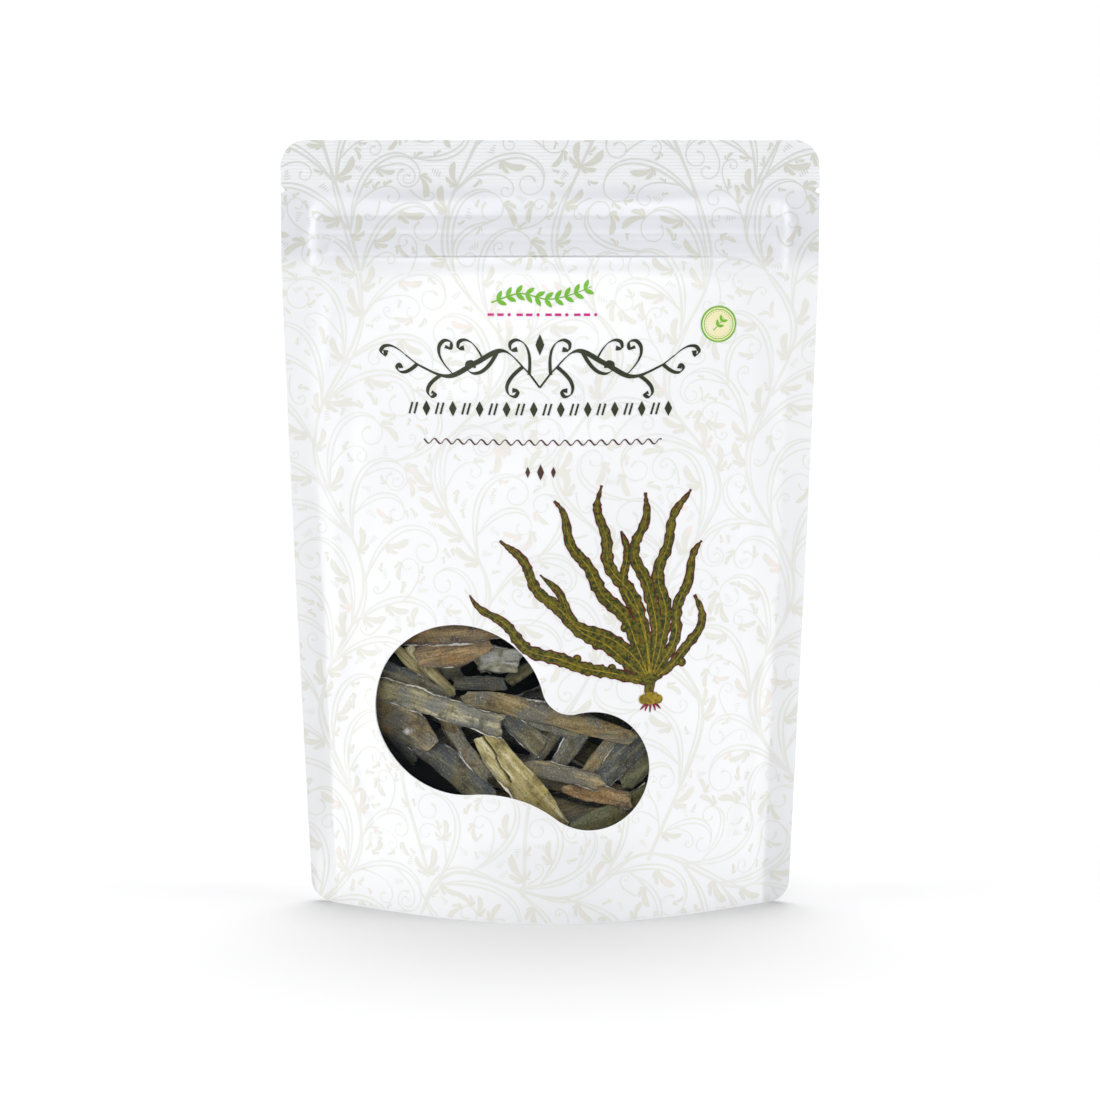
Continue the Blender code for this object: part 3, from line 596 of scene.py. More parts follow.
wall("front_panel", FRONT, [bag_outline(), window_outline()])
wall("back_panel", BACK, [bag_outline()])

# %% [markdown]
# The window is a thin clear film sealed behind the hole. Clear film hardly shows, so it is a Principled
# surface that is mostly see-through and keeps a sharp gloss. It repeats the wall's bow, a layer further in.

# %% The window film
WINDOW_STEP = 2.4 * MM


def clear_polypropylene():
    """The window's film: nearly all see-through, with a sharp gloss and a faint ripple."""
    made, shader = principled(
        "clear_polypropylene", Base_Color=linear("#3A4044"), Roughness=0.1, IOR=1.49, Alpha=0.03
    )
    tree = made.node_tree
    place = add(tree, "TexCoord", {}).outputs["Object"]
    ripple = add(tree, "TexNoise", {"Vector": place, "Scale": 1 / (9 * MM), "Detail": 1.0})
    relief = add(tree, "Bump", {"Height": ripple.outputs["Fac"], "Strength": 0.2, "Distance": 0.4 * MM})
    tree.links.new(relief.outputs[0], shader.inputs["Normal"])
    return made


seam = window_outline(WINDOW_SEAM)
reach = [min(x for x, _ in seam), max(x for x, _ in seam)]
span = [min(h for _, h in seam), max(h for _, h in seam)]
made = flat_sheet([seam], np.arange(*reach, WINDOW_STEP)[1:], np.arange(*span, WINDOW_STEP)[1:])
window = on_film(made, "window_clear_film", -LAYER_GAP / 2, FRONT, WINDOW_FILM, clear_polypropylene())
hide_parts("window_film")
print("window faces:", len(window.data.polygons))

# %% [markdown]
# The base is the same laminate, folded up into a saddle between the walls: it is what lets the pouch stand.
# A grid gives it, bent by the same rule as the solid, but finer.

# %% The folded base
GUSSET_REACH = 69 * MM
GUSSET_SEAL_LOW = 6 * MM
GUSSET_SEAL_RISE = 34 * MM
GUSSET_SEAL_POWER = 2.5
GUSSET_FOLD_LOW = 12 * MM
GUSSET_FOLD_RISE = 33 * MM
GUSSET_FOLD_POWER = 2.2
GUSSET_FOOT = 0.3 * MM
GUSSET_SKIRT_SHARE = 0.6
GUSSET_COLUMNS, GUSSET_ROWS = 96, 60


def gusset_place(across, girth):
    """Points of the base film. girth runs from -1 at the front foot, over the fold at 0, to 1 at the back."""
    share = np.abs(across) / FLAT
    seal = GUSSET_SEAL_LOW + GUSSET_SEAL_RISE * share**GUSSET_SEAL_POWER
    crest = GUSSET_FOLD_LOW + GUSSET_FOLD_RISE * share**GUSSET_FOLD_POWER
    down = (np.abs(girth) - GUSSET_SKIRT_SHARE) / (1 - GUSSET_SKIRT_SHARE)
    out = np.abs(girth) / GUSSET_SKIRT_SHARE

    def on_walls(height):
        walls = [film_place(across, height, -LAYER_GAP / 2 - FILM / 2, side) for side in (FRONT, BACK)]
        return np.where((girth < 0)[:, None], *walls)

    edge = on_walls(seal)
    skirt = on_walls(seal + (GUSSET_FOOT - seal) * np.clip(down, 0, 1))
    saddle = np.stack([edge[:, 0], edge[:, 1] * out, crest + (seal - crest) * out**2], axis=1)
    return np.where((np.abs(girth) >= GUSSET_SKIRT_SHARE)[:, None], skirt, saddle)


made = bmesh.new()
bmesh.ops.create_grid(made, x_segments=GUSSET_COLUMNS, y_segments=GUSSET_ROWS, size=1)
flat = np.array([vert.co for vert in made.verts])
for vert, place in zip(made.verts, gusset_place(flat[:, 0] * GUSSET_REACH, flat[:, 1])):
    vert.co = place
bmesh.ops.recalc_face_normals(made, faces=made.faces)
mesh = meshed(made, "folded_base")
mesh.shade_smooth()
mesh.materials.append(LAMINATE)
base = placed("folded_base", mesh)
thick = base.modifiers.new("thickness", "SOLIDIFY")
thick.thickness = FILM
thick.offset = 0
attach(base, "root")
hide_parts("base_gusset")
print("base faces:", len(mesh.polygons))

# %% [markdown]
# The press-to-close strips are extruded polyethylene, milky and slightly waxy. Their solids are right as they
# are, so they only get a material. It has the faint lengthwise die lines of an extrusion.

# %% The zip strips
def natural_polyethylene():
    """The zip's plastic: milky, with the faint die lines of an extrusion."""
    made, shader = principled("natural_polyethylene", Base_Color=linear("#EDEFEF"), Roughness=0.36, IOR=1.51)
    shader.inputs["Subsurface Weight"].default_value = 0.2
    shader.inputs["Subsurface Radius"].default_value = (1 * MM, 1 * MM, 1 * MM)
    tree = made.node_tree
    place = add(tree, "TexCoord", {}).outputs["Object"]
    lines = add(tree, "Mapping", {"Vector": place, "Scale": (4, 1 / (0.4 * MM), 1 / (0.4 * MM))})
    drawn = add(tree, "TexNoise", {"Vector": lines.outputs[0], "Scale": 1.0, "Detail": 2.0})
    relief = add(tree, "Bump", {"Height": drawn.outputs["Fac"], "Strength": 0.25, "Distance": 0.05 * MM})
    tree.links.new(relief.outputs[0], shader.inputs["Normal"])
    return made


ZIP_PLASTIC = natural_polyethylene()
for node in ("zip_hook_strip", "zip_groove_strip"):
    frame["nodes"][node].data.materials.clear()
    frame["nodes"][node].data.materials.append(ZIP_PLASTIC)
print("zip strips finished")

# %% [markdown]
# Sea spaghetti dries to leathery straps, brown to olive on the lit side and slate where they are thick. Salt
# blooms on them in pale specks, and their torn edges bleach; the pale rim is partly painted highlight. Just
# inside the edges and in the pits of the grain the straps are darkened, as painted shade. The streaks run
# along
# each strap, so each carries its own map: how far along, and how far across. The map comes from the solid's
# longest direction. A dry skin is half glossy where it is worn smooth, so the roughness wanders too.

# %% Dried seaweed material
FIBRE_LENGTH, FIBRE_WIDTH = 6 * MM, 0.42 * MM
BAND_LENGTH, BAND_WIDTH = 17 * MM, 2.4 * MM
BLOTCH = 4.5 * MM
PATCH = 9 * MM
PEBBLE = 0.6 * MM
SALT = "#D2CFC2"
# The scar is its own pale colour; the crack's near black is painted shade in the split
MARKS = (("scar", "#E2E2E0"), ("crack", "#0E0D0A"))


def dried_seaweed(name, ground, streak, patch, deep, rim, salt=0.6):
    """Dried seaweed as sRGB hex: ground, lengthwise streaks, broad patches, a dark tone and torn rim.

    deep also paints shade along the edges and in the pits; the pale rim is partly painted highlight.
    """
    made, shader = principled(name, IOR=1.48)
    tree = made.node_tree
    grain = add(tree, "UVMap", {}, uv_map="grain").outputs[0]
    place = add(tree, "TexCoord", {}).outputs["Object"]
    bands, fibres = (
        add(tree, "Mapping", {"Vector": grain, "Scale": (1 / length, 1 / width, 1)}).outputs[0]
        for length, width in ((BAND_LENGTH, BAND_WIDTH), (FIBRE_LENGTH, FIBRE_WIDTH))
    )
    noises = []
    for vector, scale, detail, rough in (
        (bands, 1.0, 4.0, 0.65),
        (fibres, 1.0, 3.0, 0.6),
        (place, 1 / BLOTCH, 4.0, 0.7),
        (place, 1 / PATCH, 3.0, 0.6),
        (place, 1 / PEBBLE, 3.0, 0.7),
    ):
        settings = {"Vector": vector, "Scale": scale, "Detail": detail, "Roughness": rough}
        noises.append(add(tree, "TexNoise", settings).outputs["Fac"])
    bands, fibres, blotch, spread, pebble = noises
    edge = add(tree, "Attribute", {}, attribute_name="rim").outputs["Fac"]
    patchy = add(tree, "Math", {0: blotch, 1: 0.6}, operation="MULTIPLY").outputs[0]
    edge = add(tree, "Math", {0: edge, 1: patchy}).outputs[0]
    colour = linear(ground)
    # Each colour comes in as its noise goes from one level to the other, up to a greatest share
    for noise, low, high, most, tone in (
        (spread, 0.42, 0.58, 0.9, patch),
        (bands, 0.46, 0.68, 0.85, streak),
        (blotch, 0.5, 0.7, 0.8, deep),
        (fibres, 0.5, 0.68, 0.6, deep),
        # Darker just inside the edges: painted shade
        (edge, 0.9, 1.2, 0.75, deep),
        # Dark in the pits of the pebble bump: painted shade
        (pebble, 0.44, 0.34, 0.7, deep),
        (pebble, 0.6, 0.68, salt, SALT),
        # The pale torn rim: partly bleaching, partly painted highlight
        (edge, 1.19, 1.28, 0.95, rim),
    ):
        settings = {0: noise, 1: low, 2: high, 4: most}
        share = add(tree, "MapRange", settings, interpolation_type="SMOOTHSTEP").outputs[0]
        colour = add(tree, "Mix", {0: share, 6: colour, 7: linear(tone)}, data_type="RGBA").outputs[2]
    # A scar is drawn pale; the crack is painted near black, as painted shade
    for mark, tone in MARKS:
        share = add(tree, "Attribute", {}, attribute_name=mark).outputs["Fac"]
        colour = add(tree, "Mix", {0: share, 6: colour, 7: linear(tone)}, data_type="RGBA").outputs[2]
    tree.links.new(colour, shader.inputs["Base Color"])
    worn = add(tree, "MapRange", {0: bands, 1: 0.35, 2: 0.65, 3: 0.58, 4: 0.28}).outputs[0]
    tree.links.new(worn, shader.inputs["Roughness"])
    under = {}
    for height, strength, depth in ((bands, 0.7, 0.5), (fibres, 0.6, 0.2), (pebble, 0.8, 0.3)):
        settings = {"Height": height, "Strength": strength, "Distance": depth * MM}
        under = {"Normal": add(tree, "Bump", settings | under).outputs[0]}
    tree.links.new(under["Normal"], shader.inputs["Normal"])
    return made


# %% The palettes seen through the window
# ground, streak, patch, deep and rim colours, and how much salt where it isn't the usual share. deep is also
# painted shade at the edges and in pits, and the pale rim is partly painted highlight.
PALETTES = {
    "olive_brown": ("#77786F", "#C9BF98", "#978D55", "#333638", "#E4E0D0"),
    "straw": ("#BCAF79", "#F2E8BC", "#AD9C56", "#5A5234", "#F8F4E2", 0.3),
    "tawny": ("#826F50", "#C4A46C", "#96733A", "#312E2A", "#D0D0C8"),
    "brown": ("#716E5F", "#B7A471", "#8E7740", "#2D2E2C", "#DAD9CD"),
    "slate": ("#5B605F", "#9F9A7B", "#736A44", "#232728", "#CCD0D0"),
    # The dark look, for the hidden straps behind, is partly painted shade, so the gaps between the front
    # straps read dark
    "dark": ("#414442", "#6C664E", "#4E4A36", "#181B1C", "#959A9F"),
    # The pale look is the flakes' own pale colour raised further, as painted light, because they lie in shade
    # deep in the heap
    "pale": ("#F2F2EA", "#FFFFFC", "#D6D3AC", "#5C5E56", "#FAF9F4", 0.9),
    "green": ("#757656", "#AFAB7B", "#8E8648", "#2F3228", "#C2C2AC"),
}
SEAWEED = {look: dried_seaweed(look + "_seaweed", *tones) for look, tones in PALETTES.items()}
# The numbers of the straps of each look, after the photograph. A strap that isn't here goes by its slot.
STRAPS_OF_LOOK = {
    "olive_brown": (1, 17, 27),
    "straw": (2, 11, 12, 24),
    "tawny": (3, 7, 9),
    "brown": (4, 5, 6, 10, 18, 21),
    "slate": (8, 13, 14, 19, 20, 23, 25, 28, 29),
    "pale": (15, 22),
    "green": (16, 26),
}
STRAP_LOOKS = {number: look for look, numbers in STRAPS_OF_LOOK.items() for number in numbers}
SLOT_LOOKS = {"dried_brown": "brown", "dried_olive": "green", "dried_dark": "dark", "dried_pale": "pale"}
print("seaweed palettes:", len(SEAWEED))

# %% [markdown]
# Each strap keeps its solid's form. A copy of the solid is merged, its cut ends and thin edges are held by
# creases, and subdivision divides the rest. Then lengthwise wrinkles, wavy curling edges and torn ends are
# pushed in, as drying does. The straps stay behind the film, which a last step makes sure of.

# %% Shape one strap
MERGE = 1e-6
JOIN_ANGLE, JOIN_SHAPE = 0.6, 1.2
CREASE_ANGLE = math.radians(38)
SHARP_ANGLE = math.radians(48)
SUBDIVISIONS = 3
FINER = (1, 2, 6, 15)
FIRST_HIDDEN = 30
FILM_ROOM = 0.9 * MM
DRAWN_NEAR = 6 * MM
SLIM = 0.25
CUP = (-0.5, 1.3)
TWIST = 22
# How much wider the straps have opened out than their solids
USUAL_SPREAD = 1.05
SPREAD = {3: 1.08, 6: 1.38, 29: 1.6}
SPREAD |= dict.fromkeys((2, 5, 18, 23), 1.2) | dict.fromkeys((9, 11, 12, 13, 24), 1.3)
# Wrinkles: (rise in mm, how much closer they lie across the strap than along it, size of one in mm, seed)
WRINKLES = [(0.22, 6, 9, 0), (0.2, 1, 3.2, 100), (0.09, 1, 1.1, 200)]
# How far some looks buckle, and the size of one buckle, in mm
BUCKLE = {"pale": 1.4, "slate": 0.35, "dark": 0.35}
BUCKLE_SIZE = 2.6
# How far the edges wave in and curl up, how far the ends are torn back, and how deep a crack is
EDGE_WAVE, EDGE_NICK, CURL = 0.5 * MM, 0.22 * MM, 0.6 * MM
TORN, TORN_REACH = 1.4 * MM, 3 * MM
CRACK_DEPTH = 1.3 * MM
CRACK_HALF_WIDTH = 0.24
# Pale marks, where the plant broke or salt dried in a ring: (x, height, outer and inner radius), in mm
SCARS = {1: (-46.2, 61.5, 1.9, 1.0), 6: (-42.9, 54.2, 1.5, 0.0)}
# The line of a crack, in mm from the front, for the one strap that has split while drying
CRACKS = {2: [(-20.5, 55.5), (-17.8, 51.5), (-16.2, 49.2), (-15.2, 46.0), (-11.6, 41.5)]}


def subdivided(node, levels):
    """A smooth, finely divided copy of a CAD node, whose cut ends stay crisp."""
    made = bmesh.new()
    made.from_mesh(frame["nodes"][node].data)
    bmesh.ops.remove_doubles(made, verts=made.verts, dist=MERGE)
    angles = {"angle_face_threshold": JOIN_ANGLE, "angle_shape_threshold": JOIN_SHAPE}
    bmesh.ops.join_triangles(made, faces=made.faces, **angles)
    crease = made.edges.layers.float.new("crease_edge")
    for edge in made.edges:
        if edge.is_manifold and edge.calc_face_angle() > CREASE_ANGLE:
            edge[crease] = 1.0
    mesh = meshed(made, node + "_cage")
    cage = placed(node + "_cage", mesh)
    divide = cage.modifiers.new("divide", "SUBSURF")
    divide.levels = levels
    divide.render_levels = levels
    graph = bpy.context.evaluated_depsgraph_get()
    fine = bpy.data.meshes.new_from_object(cage.evaluated_get(graph))
    bpy.data.objects.remove(cage, do_unlink=True)
    bpy.data.meshes.remove(mesh)
    return fine


def own_axes(points):
    """A strap's middle and its three directions: along, across and through."""
    middle = points.mean(axis=0)
    _, _, axes = np.linalg.svd(points - middle, full_matrices=False)
    return middle, axes


def rim_share(along, across):
    """Each point's share of the way from the middle line to the edge, at its place along the strap."""
    places = np.linspace(along.min(), along.max(), 30)
    reach = np.array([np.abs(across[np.abs(along - p) < 2.5 * MM]).max(initial=MM) for p in places])
    return np.clip(np.abs(across) / np.interp(along, places, reach), 0, 1)


def behind_film(points):
    """Draws deep points a little nearer to the front film, in order, and keeps all between both films."""
    aside = np.clip(np.abs(points[:, 0]) / half_chord(points[:, 2]), 0, 1)
    room = half_depth(points[:, 2]) * np.cos(math.pi / 2 * aside) - FILM_ROOM
    points[:, 1] -= DRAWN_NEAR * smooth((points[:, 1] + room - 2 * MM) / (13 * MM))
    points[:, 1] = np.clip(points[:, 1], -room, room)


def scar_share(points, mark):
    """Each point's share of a pale mark: a ring between two radii, or a spot if the inner one is 0."""
    x, height, outer, inner = mark
    far = np.hypot(points[:, 0] / MM - x, points[:, 2] / MM - height)
    far = far + 0.6 * soft_noise(points[:, 0], points[:, 2], 0.9 * MM, 7)
    return smooth((outer - far) / 0.9) * (smooth((far - inner) / 0.7) if inner else 1) * (points[:, 1] < 0)


def crack_share(points, places):
    """How near each point of the front lies to a crack."""
    flat = points[:, [0, 2]] / MM
    jitter = [soft_noise(points[:, 2], points[:, 0], 1.2 * MM, seed) for seed in (8, 9)]
    flat = flat + 0.3 * np.stack(jitter, axis=1)
    far = np.full(len(points), np.inf)
    for a, b in zip(np.array(places), np.array(places)[1:]):
        share = np.clip((flat - a) @ (b - a) / ((b - a) @ (b - a)), 0, 1)
        far = np.minimum(far, np.linalg.norm(flat - a - share[:, None] * (b - a), axis=1))
    return np.exp(-((far / CRACK_HALF_WIDTH) ** 2)) * (points[:, 1] < 0)


def strap(number, node, look):
    """Divides, shapes and dresses one strap, and gives its number of faces."""
    fine = subdivided(node, SUBDIVISIONS + (number in FINER) - (number >= FIRST_HIDDEN))
    draw = random.Random(number)
    points = np.zeros(len(fine.vertices) * 3, np.float32)
    fine.vertices.foreach_get("co", points)
    points = points.reshape(-1, 3).astype(float)
    normals = np.array([vert.normal for vert in fine.vertices])
    middle, axes = own_axes(points)
    axes[2] *= -np.sign(axes[2][1])
    along, across, through = ((points - middle) @ axes.T).T
    rim = rim_share(along, across)
    tip = np.minimum(along - along.min(), along.max() - along)
    wide = across * SPREAD.get(number, USUAL_SPREAD)
    thin = through * (1 - SLIM)
    turn = math.radians(draw.uniform(-TWIST, TWIST)) * (along / np.abs(along).max()) ** 3
    cup = draw.uniform(*CUP) * MM * (rim**2 - 0.4)
    points += axes[1] * (wide * np.cos(turn) - thin * np.sin(turn) - across)[:, None]
    points += axes[2] * (wide * np.sin(turn) + thin * np.cos(turn) - through + cup)[:, None]
    for rise, closer, size, seed in WRINKLES:
        wrinkle = rise * MM * soft_noise(across * closer, along, size * MM, number + seed)
        points += normals * wrinkle[:, None]
    buckle = BUCKLE.get(look, 0) * MM * soft_noise(across, along, BUCKLE_SIZE * MM, number + 600)
    points += axes[2] * buckle[:, None]
    wave = -EDGE_WAVE * rim**3 * (1 + soft_noise(across * 0.3, along, 4.5 * MM, number + 300))
    wave += EDGE_NICK * rim**6 * soft_noise(across * 0.3, along, 1.2 * MM, number + 350)
    points += axes[1] * (np.sign(across) * wave)[:, None]
    curl = CURL * rim**2 * soft_noise(across * 0.2, along, 6 * MM, number + 400)
    points += axes[2] * curl[:, None]
    torn = TORN * smooth(1 - tip / TORN_REACH) * (1 + soft_noise(across, along * 0.1, 1.4 * MM, number + 500))
    points -= axes[0] * (np.sign(along) * torn)[:, None]
    behind_film(points)
    crack = crack_share(points, CRACKS[number]) if number in CRACKS else np.zeros(len(points))
    points -= axes[2] * (CRACK_DEPTH * crack)[:, None]
    fine.vertices.foreach_set("co", points.astype(np.float32).ravel())
    fine.update()
    rim = np.maximum(rim, smooth(1 - tip / (0.7 * MM)))
    scar = scar_share(points, SCARS[number]) if number in SCARS else np.zeros(len(points))
    for mark, share in (("rim", rim), ("scar", scar), ("crack", crack)):
        fine.attributes.new(mark, "FLOAT", "POINT").data.foreach_set("value", share.astype(np.float32))
    corners = np.zeros(len(fine.loops), np.int32)
    fine.loops.foreach_get("vertex_index", corners)
    grain = np.stack([along, across], axis=1)[corners] + number * 0.1
    fine.uv_layers.new(name="grain").data.foreach_set("uv", grain.astype(np.float32).ravel())
    fine.shade_smooth()
    fine.set_sharp_from_angle(angle=SHARP_ANGLE)
    fine.materials.clear()
    fine.materials.append(SEAWEED[look])
    fine.name = node + "_dried"
    piece = placed(node + "_dried", fine)
    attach(piece, "root")
    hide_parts(node)
    return len(fine.polygons)


# %% Shape every strap
slots = {part["node"]: part["material_slot"] for part in frame["record"]["subparts"]}
faces = 0
for node in sorted(name for name in frame["nodes"] if name.startswith("strap_")):
    number = int(node.split("_")[1])
    faces += strap(number, node, STRAP_LOOKS.get(number, SLOT_LOOKS[slots[node]]))
print("strap faces:", faces)

# %% [markdown]
# The print is ink on the film's inner side, so it shares the film's gloss and shows no thickness to speak of.
# Here it is a very thin layer that lies on the wall and follows every crease. Each line and leaf is one small
# grid laid along a curve, as wide at each step as the pen would be: one pen draws the whole print.

# %% The pen
INK_LIFT = 0.03 * MM
INK_THICKNESS = 0.09 * MM
LAYER_RISE = 0.03 * MM
STROKE_RISE = 0.004 * MM
STROKE_HEIGHTS = 7
WINDOW_RIM = 0.3 * MM
TRIM_STEPS = 5
# The print ends this far inside the bag's rims, and just above the floor
RIM_MARGIN = 0.15 * MM
FLOOR_MARGIN = 0.5 * MM


def pen(made, points, widths, lanes=1):
    """Lays a grid along points, in mm, with a width in mm at each. lanes is how many faces it is wide.

    Strokes that cross lie at slightly different heights, as two faces in one plane would flicker.
    """
    points = np.array(points, float)
    heading = np.gradient(points, axis=0)
    heading /= np.maximum(np.linalg.norm(heading, axis=1), 1e-9)[:, None]
    steps = len(points) - 1
    rise = len(made.faces) % STROKE_HEIGHTS * STROKE_RISE
    for vert in bmesh.ops.create_grid(made, x_segments=steps, y_segments=lanes, size=1)["verts"]:
        station = round((vert.co.x + 1) / 2 * steps)
        aside = vert.co.y * widths[station] / 2
        across = points[station, 0] - heading[station, 1] * aside
        height = points[station, 1] + heading[station, 0] * aside
        vert.co = (across * MM, rise, height * MM)


def line(start, end, steps=6):
    """A straight line's points."""
    return np.linspace(start, end, steps + 1)


def curve(places, spacing=1.1):
    """A smooth line through places, in mm, with a point about every spacing."""
    places = np.array(places, float)
    padded = np.vstack([2 * places[0] - places[1], places, 2 * places[-1] - places[-2]])
    found = [places[:1]]
    for a, b, c, d in zip(padded, padded[1:], padded[2:], padded[3:]):
        t = np.linspace(0, 1, max(3, round(np.linalg.norm(c - b) / spacing)) + 1)[1:, None]
        parabola = 2 * b + (c - a) * t + (2 * a - 5 * b + 4 * c - d) * t**2
        found.append((parabola + (3 * b - a - 3 * c + d) * t**3) / 2)
    return np.vstack(found)


def disc(made, centre, radius, lanes=6):
    """A full round, drawn as one stroke that swells and shrinks."""
    angles = np.linspace(0, math.pi, 2 * lanes + 1)
    spots = np.stack([centre[0] - radius * np.cos(angles), np.full(len(angles), centre[1])], axis=1)
    pen(made, spots, 2 * radius * np.sin(angles) + 1e-3, lanes)


def ring(made, centre, radius, width, steps=64):
    """A circle drawn as one even stroke."""
    pen(made, arc(centre, radius, 0, math.tau, steps), np.full(steps + 1, width))


def inside(places, loop):
    """Which flat addresses lie inside an outline, by how often a level line crosses it."""
    found = np.zeros(len(places), bool)
    for (ax, ah), (bx, bh) in zip(loop, np.roll(loop, -1, axis=0)):
        crosses = (ah > places[:, 1]) != (bh > places[:, 1])
        if crosses.any():
            found ^= crosses & (places[:, 0] < ax + (places[:, 1] - ah) * (bx - ax) / (bh - ah))
    return found


def trim(made, loop, keep):
    """Cuts the print back to an outline and keeps what is inside it, or what is outside it."""
    loop = np.array(loop)
    made.verts.index_update()
    places = np.array([(vert.co.x, vert.co.z) for vert in made.verts])
    beyond = inside(places, loop) != keep
    gone = [face for face in made.faces if all(beyond[vert.index] for vert in face.verts)]
    share = np.linspace(0, 1, TRIM_STEPS, endpoint=False)[:, None, None]
    edge = (loop + share * (np.roll(loop, -1, axis=0) - loop)).reshape(-1, 2)
    for vert in made.verts:
        if beyond[vert.index]:
            nearest = edge[np.argmin(np.hypot(*(edge - places[vert.index]).T))]
            vert.co = (nearest[0], vert.co.y, nearest[1])
    bmesh.ops.delete(made, geom=gone, context="FACES")
    bmesh.ops.dissolve_degenerate(made, dist=1e-6, edges=made.edges)


def slice_at_zip(made):
    """Divides the print finely where the zip's ribs show through, so that it follows them."""
    band = [face for face in made.faces if any(vert.co.z > FINE_ROWS[0] for vert in face.verts)]
    edges = dict.fromkeys(edge for face in band for edge in face.edges)
    verts = dict.fromkeys(vert for face in band for vert in face.verts)
    band += [*edges, *verts]
    for row in film_rows():
        if band and FINE_ROWS[0] <= row <= FINE_ROWS[1]:
            cut = {"dist": SLICE_MISS, "plane_co": (0, 0, row), "plane_no": (0, 0, 1)}
            band = bmesh.ops.bisect_plane(made, geom=band, **cut)["geom"]


def printed(made, name, side, pigment, layer=0):
    """Turns flat strokes into a thin printed layer on a wall. A higher layer lies on top of a lower one."""
    for place, outwards in (
        ((BAG_HALF - RIM_MARGIN, 0, 0), (1, 0, 0)),
        ((RIM_MARGIN - BAG_HALF, 0, 0), (-1, 0, 0)),
        ((0, 0, FLOOR_MARGIN), (0, 0, -1)),
        ((0, 0, BAG_HEIGHT - RIM_MARGIN), (0, 0, 1)),
    ):
        whole = made.verts[:] + made.edges[:] + made.faces[:]
        bmesh.ops.bisect_plane(made, geom=whole, plane_co=place, plane_no=outwards, clear_outer=True)
    slice_at_zip(made)
    trim(made, bag_outline(), True)
    if side == FRONT:
        trim(made, window_outline(WINDOW_RIM), False)
    lift = WALL_OUT + INK_LIFT + layer * LAYER_RISE
    piece = on_film(made, name, lift, side, INK_THICKNESS, pigment)
    print(name, "faces:", len(piece.data.polygons))
    return piece


# %% [markdown]
# Scrolling vines are one of the oldest printed grounds. A scroll is a line whose bend tightens steadily, as a
# tendril's does, and each one throws smaller scrolls and leaves from its outer side. The walls are filled by
# asking, for each new scroll or leaf, whether its place is still free.

# %% Free ground
GROUND_CELL = 0.5
GROUND_MARGIN = 14


class Ground:
    """Which places of a wall are drawn on, in cells of half a millimetre."""

    def __init__(self):
        self.low = np.array([-BAG_HALF / MM - GROUND_MARGIN, -GROUND_MARGIN])
        size = (np.array([2 * BAG_HALF, BAG_HEIGHT]) / MM + 2 * GROUND_MARGIN) / GROUND_CELL
        self.taken = np.zeros(size.astype(int) + 1, bool)

    def cells(self, points):
        """The cells in which points lie."""
        found = np.round((np.array(points) - self.low) / GROUND_CELL).astype(int)
        return np.clip(found, 0, np.array(self.taken.shape) - 1)

    def free(self, points):
        """Whether nothing is drawn on any of the points."""
        i, j = self.cells(points).T
        return not self.taken[i, j].any()

    def take(self, points, room):
        """Marks the ground as drawn on, as far as room round each point."""
        reach = int(room / GROUND_CELL)
        for i, j in self.cells(points):
            self.taken[max(i - reach, 0) : i + reach + 1, max(j - reach, 0) : j + reach + 1] = True


# %% Scrolls and leaves
SCROLL_LENGTH = 54
SCROLL_SPACING = 1.0
FIRST_BEND, LAST_BEND, BEND_POWER = 0.012, 0.43, 2.1
STEM_TAPER = 0.8
# The round knob on a stem's end: its share of the stem's width, and of its length
KNOB, KNOB_LENGTH = 0.75, 0.035
LEAF_STEPS, SMALL_LEAF_STEPS = 6, 4
SMALL_LEAF = 3
# A leaf springs from its stem by one angle and has bent back by another at its tip
LEAF_SPRING, LEAF_BEND = 0.85, 1.3
# The share of a leaf's length, from its foot, that may touch its stem
LEAF_FOOT = 0.45
# A leaf's lobes: each one's share of the leaf's length, and how far it turns away from the stem
LOBES = ((1.0, -0.1), (0.6, 0.75), (0.38, 1.4))
# Smaller leaves than this have only two lobes
THREE_LOBES_FROM = 3.4


def headings(points):
    """The direction in which a line runs at each of its points."""
    step = np.gradient(points, axis=0)
    return np.arctan2(step[:, 1], step[:, 0])


def path(start, angle, length):
    """The line from start that takes equal steps along all the angles but the last."""
    moves = np.stack([np.cos(angle), np.sin(angle)], axis=1) * length / (len(angle) - 1)
    return np.array(start) + np.vstack([[0, 0], np.cumsum(moves[:-1], axis=0)])


def scroll(start, heading, size, turn, coil=1.0):
    """A line that sets off along heading and curls up. turn is 1 to the left and -1 to the right."""
    length = SCROLL_LENGTH * size
    steps = max(14, round(length / SCROLL_SPACING))
    share = np.linspace(0, 1, steps + 1)
    bend = turn * (FIRST_BEND + LAST_BEND * coil * share**BEND_POWER) / size
    angle = heading + np.concatenate([[0], np.cumsum(bend[:-1] * length / steps)])
    return path(start, angle, length), angle


def stem_widths(count, first, last):
    """The widths of a stem that tapers and ends in a knob."""
    share = np.linspace(0, 1, count)
    return first + (last - first) * share**STEM_TAPER + KNOB * first * hump(share, 1.0, KNOB_LENGTH)


def leaf(start, heading, length, turn):
    """A leaf's middle line and widths: it springs forward from the stem, bends back and ends in a point."""
    steps = LEAF_STEPS if length > SMALL_LEAF else SMALL_LEAF_STEPS
    share = np.linspace(0, 1, steps + 1)
    points = path(start, heading + turn * (LEAF_SPRING - LEAF_BEND * share), length)
    return points, length * (0.05 * (1 - share) + 0.74 * share**1.2 * (1 - share) ** 0.55)


print("a full scroll is", SCROLL_LENGTH, "mm long")

# %% The hand that draws them
BRANCH_LEANS = (0.45, 0.75, 0.2)
BRANCH_SIZES = (0.95, 0.78, 0.62, 0.48)
SMALLER = (0.72, 0.58, 0.46)
# Larger scrolls than this have a thinner line beside them
COMPANION_FROM = 0.55
COMPANION_GAP = 1.5
